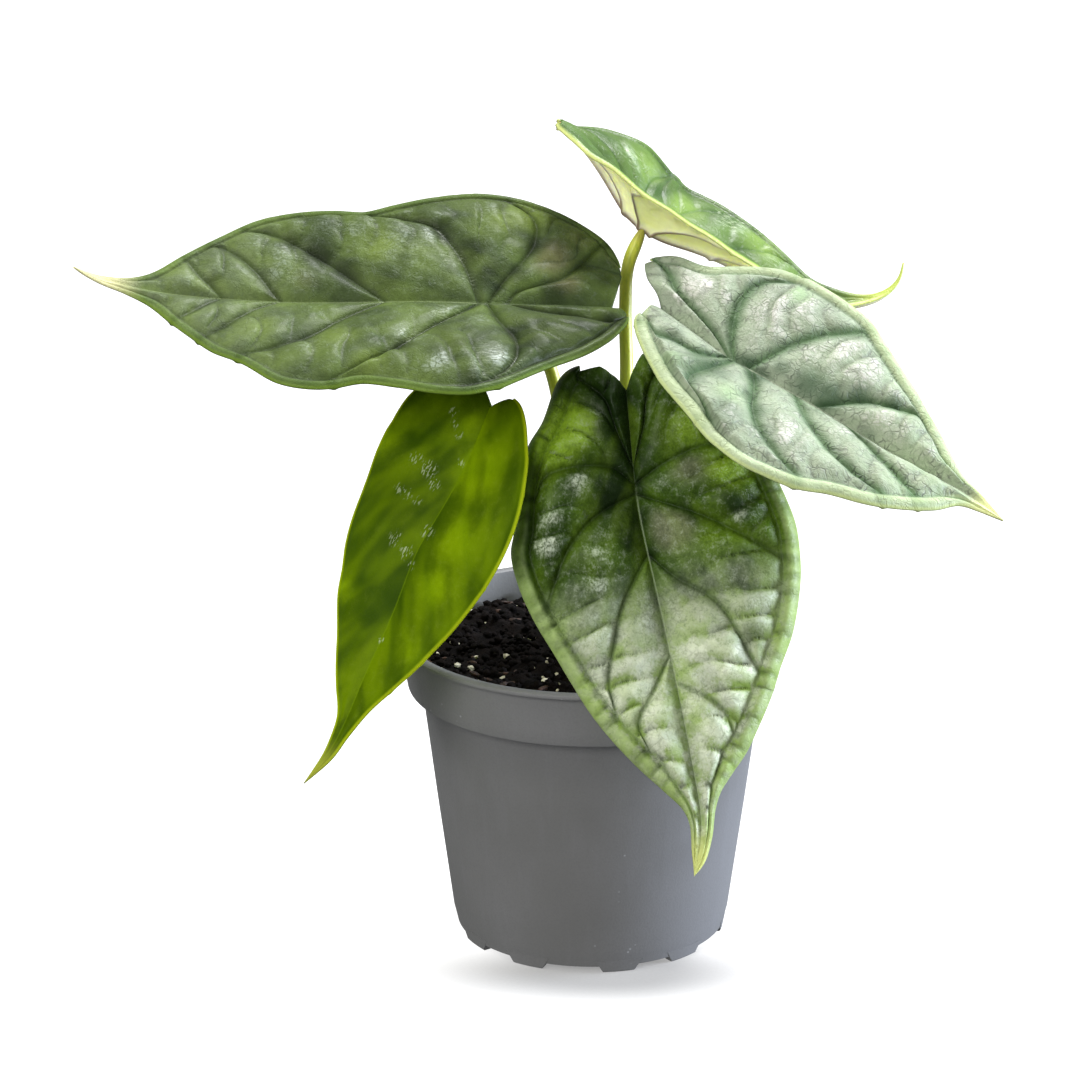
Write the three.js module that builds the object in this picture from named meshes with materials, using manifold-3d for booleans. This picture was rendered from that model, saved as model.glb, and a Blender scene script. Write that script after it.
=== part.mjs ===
// Potted dragon scale alocasia: a young aroid with five peltate leaves in a 12 cm plastic nursery pot.
// Millimetres, +Z up. The origin is on the standing surface under the pot's centre; -Y is the front.
import * as THREE from "three";
import { mergeVertices } from "three/addons/utils/BufferGeometryUtils.js";
import Module from "manifold-3d";

const wasm = await Module();
wasm.setup();

// Pot
const rimRadius = 60;
const potHeight = 95.3;
const lipHeight = 1.6;
const collarTop = 57.8;
const collarBottom = 55.2;
const collarZ = 77.7;
const bodyTop = 51.1;
const bodyBottom = 41.8;
const bodyBottomZ = 7.2;
const footRadius = 40.1;
const footWidth = 3.2;
const footHeight = 4.1;
const wall = 1.2;
const potSides = 48;
const footPairs = 5;
const footPairStart = -68;
const footGaps = [
  [0, 11],
  [32, 51],
];
const drainHoles = 6;
const drainRadius = 3.2;
const drainCircle = 27;

// Soil and the short stem
const gap = 0.3;
const facetRoom = 0.25;
const soilZ = 87.4;
const soilSides = 36;
const perliteGrains = 30;
const stemRadius = 9;
const stemTop = 92;
const stemBottom = 80;

// Leaf stalks
const stalkCircle = 5.7;
const stalkBase = 2.9;
const stalkTop = 1.8;
const stalkSides = 8;
const stalkSteps = 12;

// Blades
const bladeThickness = 0.9;
const ribDepth = 1.3;
const marginDrop = 1.1;
const columns = [0.06, 0.2, 0.36, 0.52, 0.68, 0.82, 0.93, 1];
const plainColumns = [0.08, 0.28, 0.5, 0.72, 0.9, 1];

const potMaterial = new THREE.MeshStandardMaterial({ color: 0x6f7375, roughness: 0.55, metalness: 0 });
const soilMaterial = new THREE.MeshStandardMaterial({ color: 0x1d1512, roughness: 0.95, metalness: 0 });
const stalkMaterial = new THREE.MeshStandardMaterial({ color: 0xa9b83a, roughness: 0.45, metalness: 0 });
const stemMaterial = new THREE.MeshStandardMaterial({ color: 0x7d8a3c, roughness: 0.6, metalness: 0 });

// The shape of each leaf, in its own millimetres. p runs along the midrib from the stalk's junction
// towards the tip, q across to either margin. toTip and upward set the leaf's place in the plant;
// bend, yaw and fold rows are [p, degrees], for the midrib and for the two halves [p, left, right].
// An outline goes from the basal notch round the lobe to the drip tip. spine rows are [s, p]: where a
// row of the blade starts on the midrib. A vein row is [s, p]: the row it follows and where it ends on
// the margin.
const leaves = [
  {
    name: "left",
    junction: [-31.6, -14, 199],
    toTip: [-1, -0.08, 0.06],
    upward: [0, -0.42, 0.9],
    bend: [[-30, 6], [0, 2], [30, -4], [80, 1], [105, 16], [122, 42]],
    yaw: [[-20, -6], [-2, -4], [4, 0], [45, 0], [60, 3], [98, 3], [108, -4]],
    fold: [[0, 8, 8]],
    right: [
      [-38, 0], [-39, 4], [-41.5, 9], [-43, 17], [-41, 25], [-36, 31], [-27, 37.5], [-18, 41.5],
      [-9, 43.5], [2, 44], [14, 42], [26, 38.5], [34, 36], [42, 36.5], [55, 36], [67, 32.5],
      [78, 25], [88, 16.5], [96.5, 8], [103, 4], [111, 2], [121, 0],
    ],
    left: [
      [-38, 0], [-41, 2], [-42, 5], [-37, 13.5], [-29, 21], [-15, 31], [-4, 39], [5, 45],
      [15, 45.5], [26, 42.5], [36, 40], [44, 42], [50, 42.5], [58.5, 40], [69, 32], [77, 27],
      [83, 21], [90, 14], [97, 6], [104, 3], [111, 1.8], [121, 0],
    ],
    spine: [[0, -38], [0.12, -7], [0.25, -1], [0.4, 2], [0.57, 29], [0.72, 59], [0.84, 76], [1, 121]],
    veinsRight: [[0.12, -41], [0.25, -12], [0.4, 26], [0.57, 72], [0.72, 83], [0.84, 93]],
    veinsLeft: [[0.12, -40], [0.25, -2], [0.4, 40], [0.57, 72], [0.72, 82], [0.84, 91]],
    quilt: 2.1,
    arch: 1,
    wave: 0.7,
    color: 0x4c5a3c,
    stalk: [[-3.6, 2, 104], [-5.5, 0, 130], [-8.5, -3, 158], [-14, -5, 181], [-22, -8, 191]],
    stalkAngle: 126,
  },
  {
    name: "right",
    junction: [41, -28, 185.5],
    toTip: [0.84, -0.39, -0.39],
    upward: [0.17, -0.5, 0.85],
    bend: [[-40, 6], [0, 2], [50, -4], [90, -6]],
    yaw: [[-8, 12], [4, 0], [45, 0], [58, -7], [70, -7], [80, 1]],
    fold: [[0, 10, 10]],
    right: [
      [-28.5, 0], [-31, 3], [-31.8, 8], [-27.5, 13.5], [-19, 19.5], [-9, 25], [-1.5, 29],
      [4.5, 33], [12.5, 37.5], [22, 40], [31, 38], [38.5, 35.5], [47, 30], [54, 26],
      [63, 19.5], [71.5, 12], [77, 5], [82, 2.5], [89.5, 0],
    ],
    left: [
      [-28.5, 0], [-34, 3], [-40, 5.5], [-43.5, 8.5], [-44.8, 12.5], [-40.5, 18], [-31.5, 21.5],
      [-26, 27], [-20, 32], [-12.5, 36.5], [-3, 38.5], [6, 38.5], [16, 37.5], [24, 36],
      [31, 32], [41, 26.5], [56, 19], [67, 10.5], [74, 5], [81, 3], [89.5, 0],
    ],
    spine: [[0, -28.5], [0.12, -3], [0.25, -1], [0.4, 4], [0.57, 20], [0.72, 35], [0.84, 50], [1, 89.5]],
    veinsRight: [[0.12, -30], [0.25, -8], [0.4, 32], [0.57, 58], [0.72, 68], [0.84, 75]],
    veinsLeft: [[0.12, -43.5], [0.25, -8], [0.4, 31], [0.57, 54], [0.72, 64], [0.84, 73]],
    quilt: 2.4,
    arch: 1,
    wave: 0.7,
    color: 0xb4bdaa,
    stalk: [[7, -3, 104], [18, -4, 128], [33, -4, 148], [44, -8, 164], [45, -17, 177]],
    stalkAngle: -18,
  },
  {
    name: "top",
    junction: [15.7, 30, 211.1],
    toTip: [0.953, -0.02, -0.3],
    upward: [0.1, 0.32, 0.94],
    bend: [
      [-40, -16], [-24, -38], [-12, -43], [0, -19], [12, -1], [24, -8], [44, -14], [60, 14],
      [72, 32], [80, 58], [88, 98],
    ],
    yaw: [[0, 0]],
    fold: [[-36, 8, -12], [-28, 25, -10], [-18, 37, 0], [2, 39, 10], [14, 36, 6], [28, 36, 2], [62, 44, 4]],
    right: [
      [-36, 0], [-40, 4], [-41, 9], [-37, 17], [-28, 24], [-14, 28], [0, 29], [15, 27.5],
      [32, 22], [48, 15], [62, 9], [72, 5], [80, 2.5], [90, 0],
    ],
    left: [
      [-36, 0], [-40, 4], [-41, 10], [-37, 19], [-28, 27], [-14, 32], [0, 33], [15, 31],
      [32, 25], [48, 17], [62, 10], [72, 5], [80, 2.5], [90, 0],
    ],
    spine: [[0, -36], [0.12, -7], [0.25, -1], [0.4, 3], [0.57, 22], [0.72, 42], [0.84, 56], [1, 90]],
    veinsRight: [[0.12, -40], [0.25, -8], [0.4, 24], [0.57, 48], [0.72, 62], [0.84, 72]],
    veinsLeft: [[0.12, -40], [0.25, -8], [0.4, 24], [0.57, 48], [0.72, 62], [0.84, 72]],
    quilt: 1.5,
    arch: 0.6,
    wave: 0.4,
    color: 0x6f8f45,
    stalk: [[5, 6, 106], [8, 12, 135], [10.2, 15, 168], [9.9, 22, 188], [10.8, 26.5, 200]],
    stalkAngle: 54,
  },
  {
    name: "young",
    junction: [-37.5, -35, 155],
    toTip: [-0.47, -0.25, -0.85],
    upward: [-0.46, -0.75, 0.48],
    bend: [[-24, 8], [0, 3], [40, -2], [80, 4], [101, 10]],
    yaw: [[-8, -11], [4, 0], [20, 4], [34, -8], [58, -3], [72, -8], [84, -4], [94, 10]],
    fold: [[-20, 6, 6], [40, 6, 6], [80, 10, 10]],
    right: [
      [-20.5, 0], [-23.5, 2], [-26, 6], [-27, 12], [-24, 20], [-18, 25.5], [-7.5, 28],
      [6.5, 28], [17.5, 26], [24, 24.5], [30, 23], [38, 21], [47.5, 19], [60, 13],
      [71, 7.5], [79, 3.5], [88, 2], [101.5, 0],
    ],
    left: [
      [-20.5, 0], [-21, 2], [-22.5, 3], [-24, 4.5], [-24.8, 6.5], [-23, 10], [-18.5, 14],
      [-10.5, 18.5], [-3, 22], [3.5, 25], [10.5, 27], [17, 27.8], [25, 27.8], [32, 27],
      [42, 23], [51, 18.5], [59, 15], [67.5, 11], [76, 6], [84, 3], [91, 2], [101.5, 0],
    ],
    spine: [[0, -20.5], [0.12, -4], [0.25, 0], [0.4, 4], [0.57, 24], [0.72, 46], [0.84, 62], [1, 101.5]],
    veinsRight: [[0.12, -26], [0.25, -6], [0.4, 24], [0.57, 52], [0.72, 68], [0.84, 80]],
    veinsLeft: [[0.12, -24], [0.25, -4], [0.4, 28], [0.57, 54], [0.72, 70], [0.84, 82]],
    quilt: 0.2,
    arch: 0.6,
    wave: 0.3,
    color: 0x7f9a0c,
    plain: true,
    stalk: [[-5, -4, 103], [-12, -7, 122], [-21, -12, 138], [-29, -21, 148]],
    stalkAngle: -162,
  },
  {
    name: "front",
    junction: [12, -36, 150.5],
    toTip: [0.15, -0.47, -0.876],
    upward: [0, -0.88, 0.47],
    bend: [[-30, 2], [0, 1], [40, -1], [90, 2], [110, 6]],
    yaw: [[-8, 4], [4, 0], [20, -4], [50, -3], [90, -1], [104, 14], [114, 24]],
    fold: [[-30, 4, 4], [60, 2, 2]],
    right: [
      [-29, 0], [-31, 2], [-34, 5], [-36.5, 9], [-37.5, 13], [-36.5, 16.5], [-33.5, 19.5],
      [-29.5, 21.5], [-21.5, 25], [-15, 29.5], [-5, 33.5], [7, 36.5], [12, 38.5],
      [21.5, 38.3], [32.5, 36], [42, 32.7], [52, 29.3], [61, 26], [71, 21], [81, 14.5],
      [87.5, 9.5], [94, 5], [99, 3.3], [107, 2.2], [114.5, 0],
    ],
    left: [
      [-29, 0], [-31, 2], [-35, 3], [-38.5, 5], [-40, 9], [-39, 17], [-33, 26], [-24, 32.5],
      [-12, 37.5], [4, 41], [12, 42.5], [21, 43.5], [29.5, 42.7], [35.5, 41.5], [44, 38.6],
      [51, 35.5], [59, 30.5], [66.5, 26.3], [75, 20.5], [81, 16], [86, 11], [91, 6.5],
      [96, 4.2], [103, 3.2], [110, 2], [114.5, 0],
    ],
    spine: [[0, -29], [0.12, -6], [0.25, -1], [0.4, 2], [0.57, 20], [0.72, 44], [0.84, 62], [1, 114.5]],
    veinsRight: [[0.12, -37], [0.25, -9], [0.4, 29], [0.57, 64], [0.72, 80], [0.84, 89]],
    veinsLeft: [[0.12, -39.5], [0.25, -9], [0.4, 29], [0.57, 68], [0.72, 80], [0.84, 89]],
    quilt: 3,
    arch: 2,
    wave: 0.8,
    color: 0x557a35,
    stalk: [[0.2, -7.4, 103], [3.6, -10, 122], [9, -17, 139], [11.5, -25, 147]],
    stalkAngle: -90,
  },
];

const radians = THREE.MathUtils.degToRad;
const vector = (row) => new THREE.Vector3(...row);

// Smooth curve through rows [x, v1, v2, ...] that never overshoots them and is flat past its ends.
function along(rows, x) {
  const last = rows.length - 1;
  if (x <= rows[0][0]) return rows[0].slice(1);
  if (x >= rows[last][0]) return rows[last].slice(1);
  const i = rows.findIndex((row) => row[0] > x) - 1;
  const step = (k) => rows[k + 1][0] - rows[k][0];
  const rise = (k, c) => (rows[k + 1][c] - rows[k][c]) / step(k);
  const slope = (k, c) => {
    if (k === 0) return rise(0, c);
    if (k === last) return rise(last - 1, c);
    const before = rise(k - 1, c);
    const after = rise(k, c);
    if (before * after <= 0) return 0;
    const w1 = 2 * step(k) + step(k - 1);
    const w2 = step(k) + 2 * step(k - 1);
    return (w1 + w2) / (w1 / before + w2 / after);
  };
  const h = step(i);
  const u = (x - rows[i][0]) / h;
  const v = 1 - u;
  return rows[i].slice(1).map((_, k) => {
    const c = k + 1;
    return (
      rows[i][c] * (1 + 2 * u) * v * v +
      slope(i, c) * h * u * v * v +
      rows[i + 1][c] * u * u * (3 - 2 * u) -
      slope(i + 1, c) * h * u * u * v
    );
  });
}

// The curved sheet that a blade follows: place(p, q) gives the point in the plant.
function makeSheet(leaf) {
  const forward = vector(leaf.toTip).normalize();
  const up = vector(leaf.upward);
  up.addScaledVector(forward, -up.dot(forward)).normalize();
  const side = new THREE.Vector3().crossVectors(forward, up);
  const heading = (p) => {
    const bend = radians(along(leaf.bend, p)[0]);
    const yaw = radians(along(leaf.yaw, p)[0]);
    return { bend, yaw };
  };
  const tangent = (p) => {
    const { bend, yaw } = heading(p);
    return new THREE.Vector3()
      .addScaledVector(forward, Math.cos(bend) * Math.cos(yaw))
      .addScaledVector(up, Math.sin(bend))
      .addScaledVector(side, Math.cos(bend) * Math.sin(yaw));
  };
  const reach = leaf.spine[leaf.spine.length - 1][1] + 2;
  const trail = (sign, length) => {
    const points = [vector(leaf.junction)];
    for (let i = 0; i < length; i += 1) {
      const next = points[i].clone().addScaledVector(tangent(sign * (i + 0.5)), sign);
      points.push(next);
    }
    return points;
  };
  const ahead = trail(1, Math.ceil(reach) + 1);
  const behind = trail(-1, 60);
  const midrib = (p) => {
    const points = p >= 0 ? ahead : behind;
    const d = Math.min(Math.abs(p), points.length - 1.001);
    const i = Math.floor(d);
    return points[i].clone().lerp(points[i + 1], d - i);
  };
  return (p, q) => {
    const { bend, yaw } = heading(p);
    const level = forward.clone().multiplyScalar(Math.cos(yaw)).addScaledVector(side, Math.sin(yaw));
    const normal = up.clone().multiplyScalar(Math.cos(bend)).addScaledVector(level, -Math.sin(bend));
    const across = side.clone().multiplyScalar(Math.cos(yaw)).addScaledVector(forward, -Math.sin(yaw));
    const folds = along(leaf.fold, p);
    const fold = radians(q > 0 ? folds[1] : folds[0]) * Math.tanh(Math.abs(q) / 4);
    return midrib(p)
      .addScaledVector(across, q * Math.cos(fold))
      .addScaledVector(normal, Math.abs(q) * Math.sin(fold));
  };
}

// Leaf millimetres of the point on row s, a share t of the way from the midrib to the margin. The
// first row follows the edge of the basal notch; later rows follow the veins, which bow backwards.
function makeRows(leaf, outline, veins) {
  const corner = outline.reduce((best, row, i) => (row[0] < outline[best][0] ? i : best), 0);
  const notchEdge = outline.slice(0, corner + 1).map(([p, q]) => [q, p]);
  const margin = outline.slice(corner);
  const tip = outline[outline.length - 1][0];
  const ends = [[0, outline[corner][0]], ...veins, [1, tip]];
  const cornerQ = outline[corner][1];
  return (s, t) => {
    const start = along(leaf.spine, s)[0];
    const end = along(ends, s)[0];
    const endQ = along(margin, end)[0];
    const notchShare = Math.max(0, 1 - s / 0.3) ** 2;
    const straight = outline[0][0] + (outline[corner][0] - outline[0][0]) * t;
    const notchBow = along(notchEdge, t * cornerQ)[0] - straight;
    const reach = Math.hypot(end - start, endQ);
    const bow = 0.6 * t * (1 - t) * reach * Math.min(1, s / 0.25) * (1 - s);
    return [start + (end - start) * t + notchShare * notchBow - bow, endQ * t];
  };
}

// Height of the quilted surface: pillows between the veins on an arched half, a groove at the midrib
// and a rolled margin.
function relief(leaf, veins, s, t) {
  const lines = [0, ...veins.map((row) => row[0]), 1];
  const k = Math.min(lines.findIndex((v) => v > s + 1e-6) - 1, lines.length - 2);
  const x = k < 0 ? 1 : (s - lines[k]) / (lines[k + 1] - lines[k]);
  const pillow = Math.sin(Math.PI * x) ** 0.7;
  const room = Math.sin(Math.PI * Math.min(1, 0.05 + 0.9 * t)) ** 0.6;
  const ripple = 1 + 0.18 * Math.sin(17 * t + 9 * s);
  const taper = 1 - 0.75 * s * s;
  const groove = -0.5 * Math.exp(-((t / 0.12) ** 2));
  const edge = t > 0.99 ? -marginDrop * taper : 0;
  const wave = leaf.wave * Math.sin(34 * s + 2 * leaf.quilt) * t ** 3 * taper;
  const arch = leaf.arch * 4 * t * (1 - t) * Math.min(1, s / 0.12) * taper;
  return leaf.quilt * pillow * room * ripple * taper + arch + groove + edge + wave;
}

// A closed blade: an upper and a lower face split into triangles alike, walls round the margin and
// one point at the drip tip.
function makeBlade(leaf) {
  const place = makeSheet(leaf);
  const halves = { 1: [leaf.right, leaf.veinsRight], "-1": [leaf.left, leaf.veinsLeft] };
  const rowsOf = { 1: makeRows(leaf, ...halves[1]), "-1": makeRows(leaf, ...halves[-1]) };
  const lines = [0, ...leaf.veinsRight.map((row) => row[0]), 1];
  const steps = leaf.plain ? [0, 0.33, 0.67] : [0, 0.22, 0.5, 0.78];
  const rows = lines.slice(0, -1).flatMap((s, i) => steps.map((u) => s + u * (lines[i + 1] - s)));
  const half = leaf.plain ? plainColumns : columns;
  const shares = [...half.map((t) => -t).reverse(), 0, ...half];
  const width = shares.length;
  const upper = [];
  const lower = [];
  rows.forEach((s) =>
    shares.forEach((share) => {
      const sign = share < 0 ? -1 : 1;
      const t = Math.abs(share);
      const [p, offset] = rowsOf[sign](s, t);
      const q = sign * offset;
      const step = 0.5;
      const du = place(p + step, q).sub(place(p - step, q));
      const dv = place(p, q + step).sub(place(p, q - step));
      const normal = new THREE.Vector3().crossVectors(dv, du).normalize();
      const middle = place(p, q).addScaledVector(normal, relief(leaf, halves[sign][1], s, t));
      const rib = t === 0 ? ribDepth * (1 - 0.8 * s) * Math.min(1, 0.3 + s / 0.12) : 0;
      upper.push(middle.clone().addScaledVector(normal, bladeThickness / 2));
      lower.push(middle.clone().addScaledVector(normal, -bladeThickness / 2 - rib));
    }),
  );
  const tip = place(leaf.spine[leaf.spine.length - 1][1], 0);
  const points = [...upper, ...lower, tip];
  const below = upper.length;
  const apex = points.length - 1;
  const faces = [];
  const quad = (a, b, c, d) => faces.push(a, b, c, a, c, d);
  for (let i = 0; i < rows.length - 1; i += 1) {
    for (let j = 0; j < width - 1; j += 1) {
      const a = i * width + j;
      quad(a, a + 1, a + width + 1, a + width);
      faces.push(a + below, a + below + width + 1, a + below + 1);
      faces.push(a + below, a + below + width, a + below + width + 1);
    }
    const left = i * width;
    const right = left + width - 1;
    quad(left, left + width, left + width + below, left + below);
    quad(right, right + below, right + width + below, right + width);
  }
  const end = (rows.length - 1) * width;
  for (let j = 0; j < width - 1; j += 1) {
    quad(j, j + below, j + 1 + below, j + 1);
    faces.push(end + j, end + j + 1, apex);
    faces.push(end + j + below, apex, end + j + 1 + below);
  }
  faces.push(end, apex, end + below);
  faces.push(end + width - 1, end + width - 1 + below, apex);
  return closedGeometry(points, faces);
}

function closedGeometry(points, faces) {
  const geometry = new THREE.BufferGeometry().setFromPoints(points);
  geometry.setIndex(faces);
  return geometry;
}

function toSolid(geometry) {
  const bare = geometry.clone();
  bare.deleteAttribute("normal");
  bare.deleteAttribute("uv");
  const merged = mergeVertices(bare, 1e-4);
  return new wasm.Manifold(
    new wasm.Mesh({
      numProp: 3,
      vertProperties: merged.attributes.position.array,
      triVerts: new Uint32Array(merged.index.array),
    }),
  );
}

function fromSolid(solid) {
  const mesh = solid.getMesh();
  const geometry = new THREE.BufferGeometry();
  geometry.setAttribute("position", new THREE.BufferAttribute(mesh.vertProperties, 3));
  geometry.setIndex(new THREE.BufferAttribute(mesh.triVerts, 1));
  return geometry;
}

// A body of revolution about +Z from [radius, z] rows that start and end on the axis.
function turned(profile, sides) {
  const points = profile.map(([r, z]) => new THREE.Vector2(r, z));
  return new THREE.LatheGeometry(points, sides).rotateX(Math.PI / 2);
}

// A block between two angles, from an inner to an outer radius.
function sector(inner, outer, from, to, z0, z1) {
  const shape = new THREE.Shape();
  shape.absarc(0, 0, outer, radians(from), radians(to), false);
  shape.absarc(0, 0, inner, radians(to), radians(from), true);
  const block = new THREE.ExtrudeGeometry(shape, { depth: z1 - z0, bevelEnabled: false, curveSegments: 3 });
  return block.translate(0, 0, z0);
}

// Nursery pot: centre pad and foot ring under the floor, tapered body, collar and flat lip. Gaps let
// water out under the foot ring, and holes drain the floor.
function makePot() {
  const padRadius = 9;
  const floorTop = footHeight + 1.5;
  const lipWidth = 2.9;
  const profile = [
    [0, 0],
    [padRadius, 0],
    [padRadius + 0.5, footHeight - 0.2],
    [footRadius - footWidth - 0.4, footHeight - 0.2],
    [footRadius - footWidth, 0],
    [footRadius, 0],
    [footRadius + 0.2, footHeight],
    [footRadius + 0.9, footHeight + 0.3],
    [bodyBottom, bodyBottomZ],
    [bodyTop, collarZ],
    [collarBottom - 0.4, collarZ],
    [collarBottom, collarZ + 0.7],
    [collarTop, potHeight - lipHeight],
    [rimRadius - 0.4, potHeight - lipHeight + 0.1],
    [rimRadius, potHeight - lipHeight / 2],
    [rimRadius - 0.5, potHeight],
    [rimRadius - lipWidth, potHeight],
    [collarTop - wall - 0.1, potHeight - 0.7],
    [collarBottom - wall, collarZ + wall + 1],
    [bodyTop - wall, collarZ - wall / 2],
    [bodyBottom - wall, bodyBottomZ + 0.8],
    [bodyBottom - 2.4, floorTop + 0.4],
    [0, floorTop],
  ];
  let pot = toSolid(turned(profile, potSides));
  const period = 360 / footPairs;
  for (let pair = 0; pair < footPairs; pair += 1) {
    const start = footPairStart + pair * period;
    footGaps.forEach(([from, to]) => {
      const cut = sector(
        footRadius - footWidth - 1,
        footRadius + 3,
        start + from,
        start + to,
        -1,
        footHeight - 0.2,
      );
      pot = pot.subtract(toSolid(cut));
    });
  }
  for (let i = 0; i < drainHoles; i += 1) {
    const angle = radians((360 / drainHoles) * i + 20);
    const hole = new THREE.CylinderGeometry(drainRadius, drainRadius, 6, 10).rotateX(Math.PI / 2);
    hole.translate(drainCircle * Math.cos(angle), drainCircle * Math.sin(angle), footHeight + 0.5);
    pot = pot.subtract(toSolid(hole));
  }
  return fromSolid(pot);
}

function seededRandom(seed) {
  let state = seed;
  return () => {
    state = (state * 1664525 + 1013904223) % 4294967296;
    return state / 4294967296;
  };
}

const soilBump = (x, y) =>
  0.9 * Math.sin(0.21 * x + 1.3) * Math.cos(0.19 * y) + 0.7 * Math.sin(0.43 * y + 0.31 * x);

// Peat mix that fills the pot, with an uneven top, a hole round the stem and perlite grains sunk in.
function makeSoil() {
  const holeRadius = stemRadius + gap + 0.15;
  const edge = collarTop - wall - gap - (potHeight - soilZ) * 0.17 - 0.6;
  const topRings = [holeRadius, 17, 26, 35, 44, edge - 1.6];
  const profile = [
    [0, footHeight + 1.5 + gap],
    [bodyBottom - 2.9, footHeight + 1.9 + gap],
    [bodyBottom - wall - gap - facetRoom, footHeight + 4.8],
    [bodyTop - wall - gap - facetRoom, collarZ - wall / 2],
    [collarBottom - wall - gap - 2 * facetRoom, collarZ + wall + 1.4],
    [edge, soilZ - 1.2],
    ...topRings.map((r) => [r, soilZ]).reverse(),
    [holeRadius, stemBottom - gap],
    [0, stemBottom - gap],
  ];
  const body = turned(profile, soilSides);
  const place = body.attributes.position;
  for (let i = 0; i < place.count; i += 1) {
    const r = Math.hypot(place.getX(i), place.getY(i));
    if (Math.abs(place.getZ(i) - soilZ) < 0.01 && r > holeRadius - 0.1) {
      place.setZ(i, soilZ + soilBump(place.getX(i), place.getY(i)));
    }
  }
  let soil = toSolid(body);
  const random = seededRandom(41);
  for (let i = 0; i < perliteGrains; i += 1) {
    const r = Math.sqrt(0.05 + 0.82 * random()) * (edge - 3);
    const angle = 2 * Math.PI * random();
    const size = 1.3 + 1.1 * random();
    const x = r * Math.cos(angle);
    const y = r * Math.sin(angle);
    const grain = new THREE.IcosahedronGeometry(size, 0);
    grain.rotateX(3 * random()).rotateZ(3 * random()).scale(1, 0.85, 0.75);
    grain.translate(x, y, soilZ + soilBump(x, y) + 0.15);
    if (r > holeRadius + size + 1) soil = soil.add(toSolid(grain));
  }
  return fromSolid(soil);
}

// The short stem, sunk in the soil, with a flat top that the stalks stand on.
function makeStem() {
  return turned(
    [
      [0, stemBottom],
      [stemRadius - 2, stemBottom],
      [stemRadius, stemBottom + 3],
      [stemRadius, soilZ],
      [stemRadius + 0.3, stemTop - 1.2],
      [stemRadius, stemTop],
      [0, stemTop],
    ],
    20,
  );
}

// A tapered stalk from the stem's top to the seat under its blade. Both ends are cut along the face
// they stand against.
function makeStalk(leaf) {
  const up = vector(leaf.upward);
  const forward = vector(leaf.toTip).normalize();
  up.addScaledVector(forward, -up.dot(forward)).normalize();
  const bend = radians(along(leaf.bend, 0)[0]);
  const normal = up.clone().multiplyScalar(Math.cos(bend)).addScaledVector(forward, -Math.sin(bend));
  const seatDepth = bladeThickness / 2 + ribDepth + gap + 0.35;
  const seat = vector(leaf.junction).addScaledVector(normal, -seatDepth);
  const angle = radians(leaf.stalkAngle);
  const foot = new THREE.Vector3(
    stalkCircle * Math.cos(angle),
    stalkCircle * Math.sin(angle),
    stemTop + gap,
  );
  const path = new THREE.CatmullRomCurve3([foot, ...leaf.stalk.map(vector), seat], false, "centripetal");
  const frames = path.computeFrenetFrames(stalkSteps, false);
  const points = [];
  for (let i = 0; i <= stalkSteps; i += 1) {
    const u = i / stalkSteps;
    const centre = path.getPointAt(u);
    const radius = stalkTop + (stalkBase - stalkTop) * (1 - u) ** 1.6;
    for (let k = 0; k < stalkSides; k += 1) {
      const turn = (2 * Math.PI * k) / stalkSides;
      const point = centre
        .clone()
        .addScaledVector(frames.normals[i], radius * Math.cos(turn))
        .addScaledVector(frames.binormals[i], radius * Math.sin(turn));
      const cut = i === 0 ? [foot, new THREE.Vector3(0, 0, 1)] : [seat, normal];
      if (i === 0 || i === stalkSteps) {
        const tangent = frames.tangents[i];
        const slip = cut[0].clone().sub(point).dot(cut[1]) / tangent.dot(cut[1]);
        point.addScaledVector(tangent, slip);
      }
      points.push(point);
    }
  }
  points.push(foot, seat);
  const faces = [];
  for (let i = 0; i < stalkSteps; i += 1) {
    for (let k = 0; k < stalkSides; k += 1) {
      const a = i * stalkSides + k;
      const b = i * stalkSides + ((k + 1) % stalkSides);
      faces.push(a, b, b + stalkSides, a, b + stalkSides, a + stalkSides);
    }
  }
  const top = stalkSteps * stalkSides;
  for (let k = 0; k < stalkSides; k += 1) {
    const next = (k + 1) % stalkSides;
    faces.push(points.length - 2, next, k);
    faces.push(points.length - 1, top + k, top + next);
  }
  return closedGeometry(points, faces);
}

const plant = new THREE.Group();

function addPiece(name, geometry, material) {
  const mesh = new THREE.Mesh(geometry, material);
  mesh.name = name;
  plant.add(mesh);
}

addPiece("pot", makePot(), potMaterial);
addPiece("soil", makeSoil(), soilMaterial);
addPiece("stem_base", makeStem(), stemMaterial);
leaves.forEach((leaf) => {
  const skin = new THREE.MeshStandardMaterial({ color: leaf.color, roughness: 0.45, metalness: 0 });
  addPiece("petiole_" + leaf.name, makeStalk(leaf), stalkMaterial);
  addPiece("leaf_" + leaf.name, makeBlade(leaf), skin);
});

export default plant;
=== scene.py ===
import bpy
import bmesh
import math
import random
import numpy as np
from mathutils import Matrix, Vector, noise


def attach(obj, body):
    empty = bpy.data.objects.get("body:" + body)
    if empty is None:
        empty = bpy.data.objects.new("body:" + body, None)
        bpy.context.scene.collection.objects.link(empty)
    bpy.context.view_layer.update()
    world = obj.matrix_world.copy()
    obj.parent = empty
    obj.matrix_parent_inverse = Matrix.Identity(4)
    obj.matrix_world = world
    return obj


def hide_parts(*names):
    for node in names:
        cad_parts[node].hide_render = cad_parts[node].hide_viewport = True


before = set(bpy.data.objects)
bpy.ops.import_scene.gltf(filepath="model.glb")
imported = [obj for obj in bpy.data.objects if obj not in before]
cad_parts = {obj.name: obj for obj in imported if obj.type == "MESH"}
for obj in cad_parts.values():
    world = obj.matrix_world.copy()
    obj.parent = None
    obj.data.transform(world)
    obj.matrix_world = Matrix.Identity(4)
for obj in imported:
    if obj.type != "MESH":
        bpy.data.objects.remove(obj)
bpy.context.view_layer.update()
mm = 0.001

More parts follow.
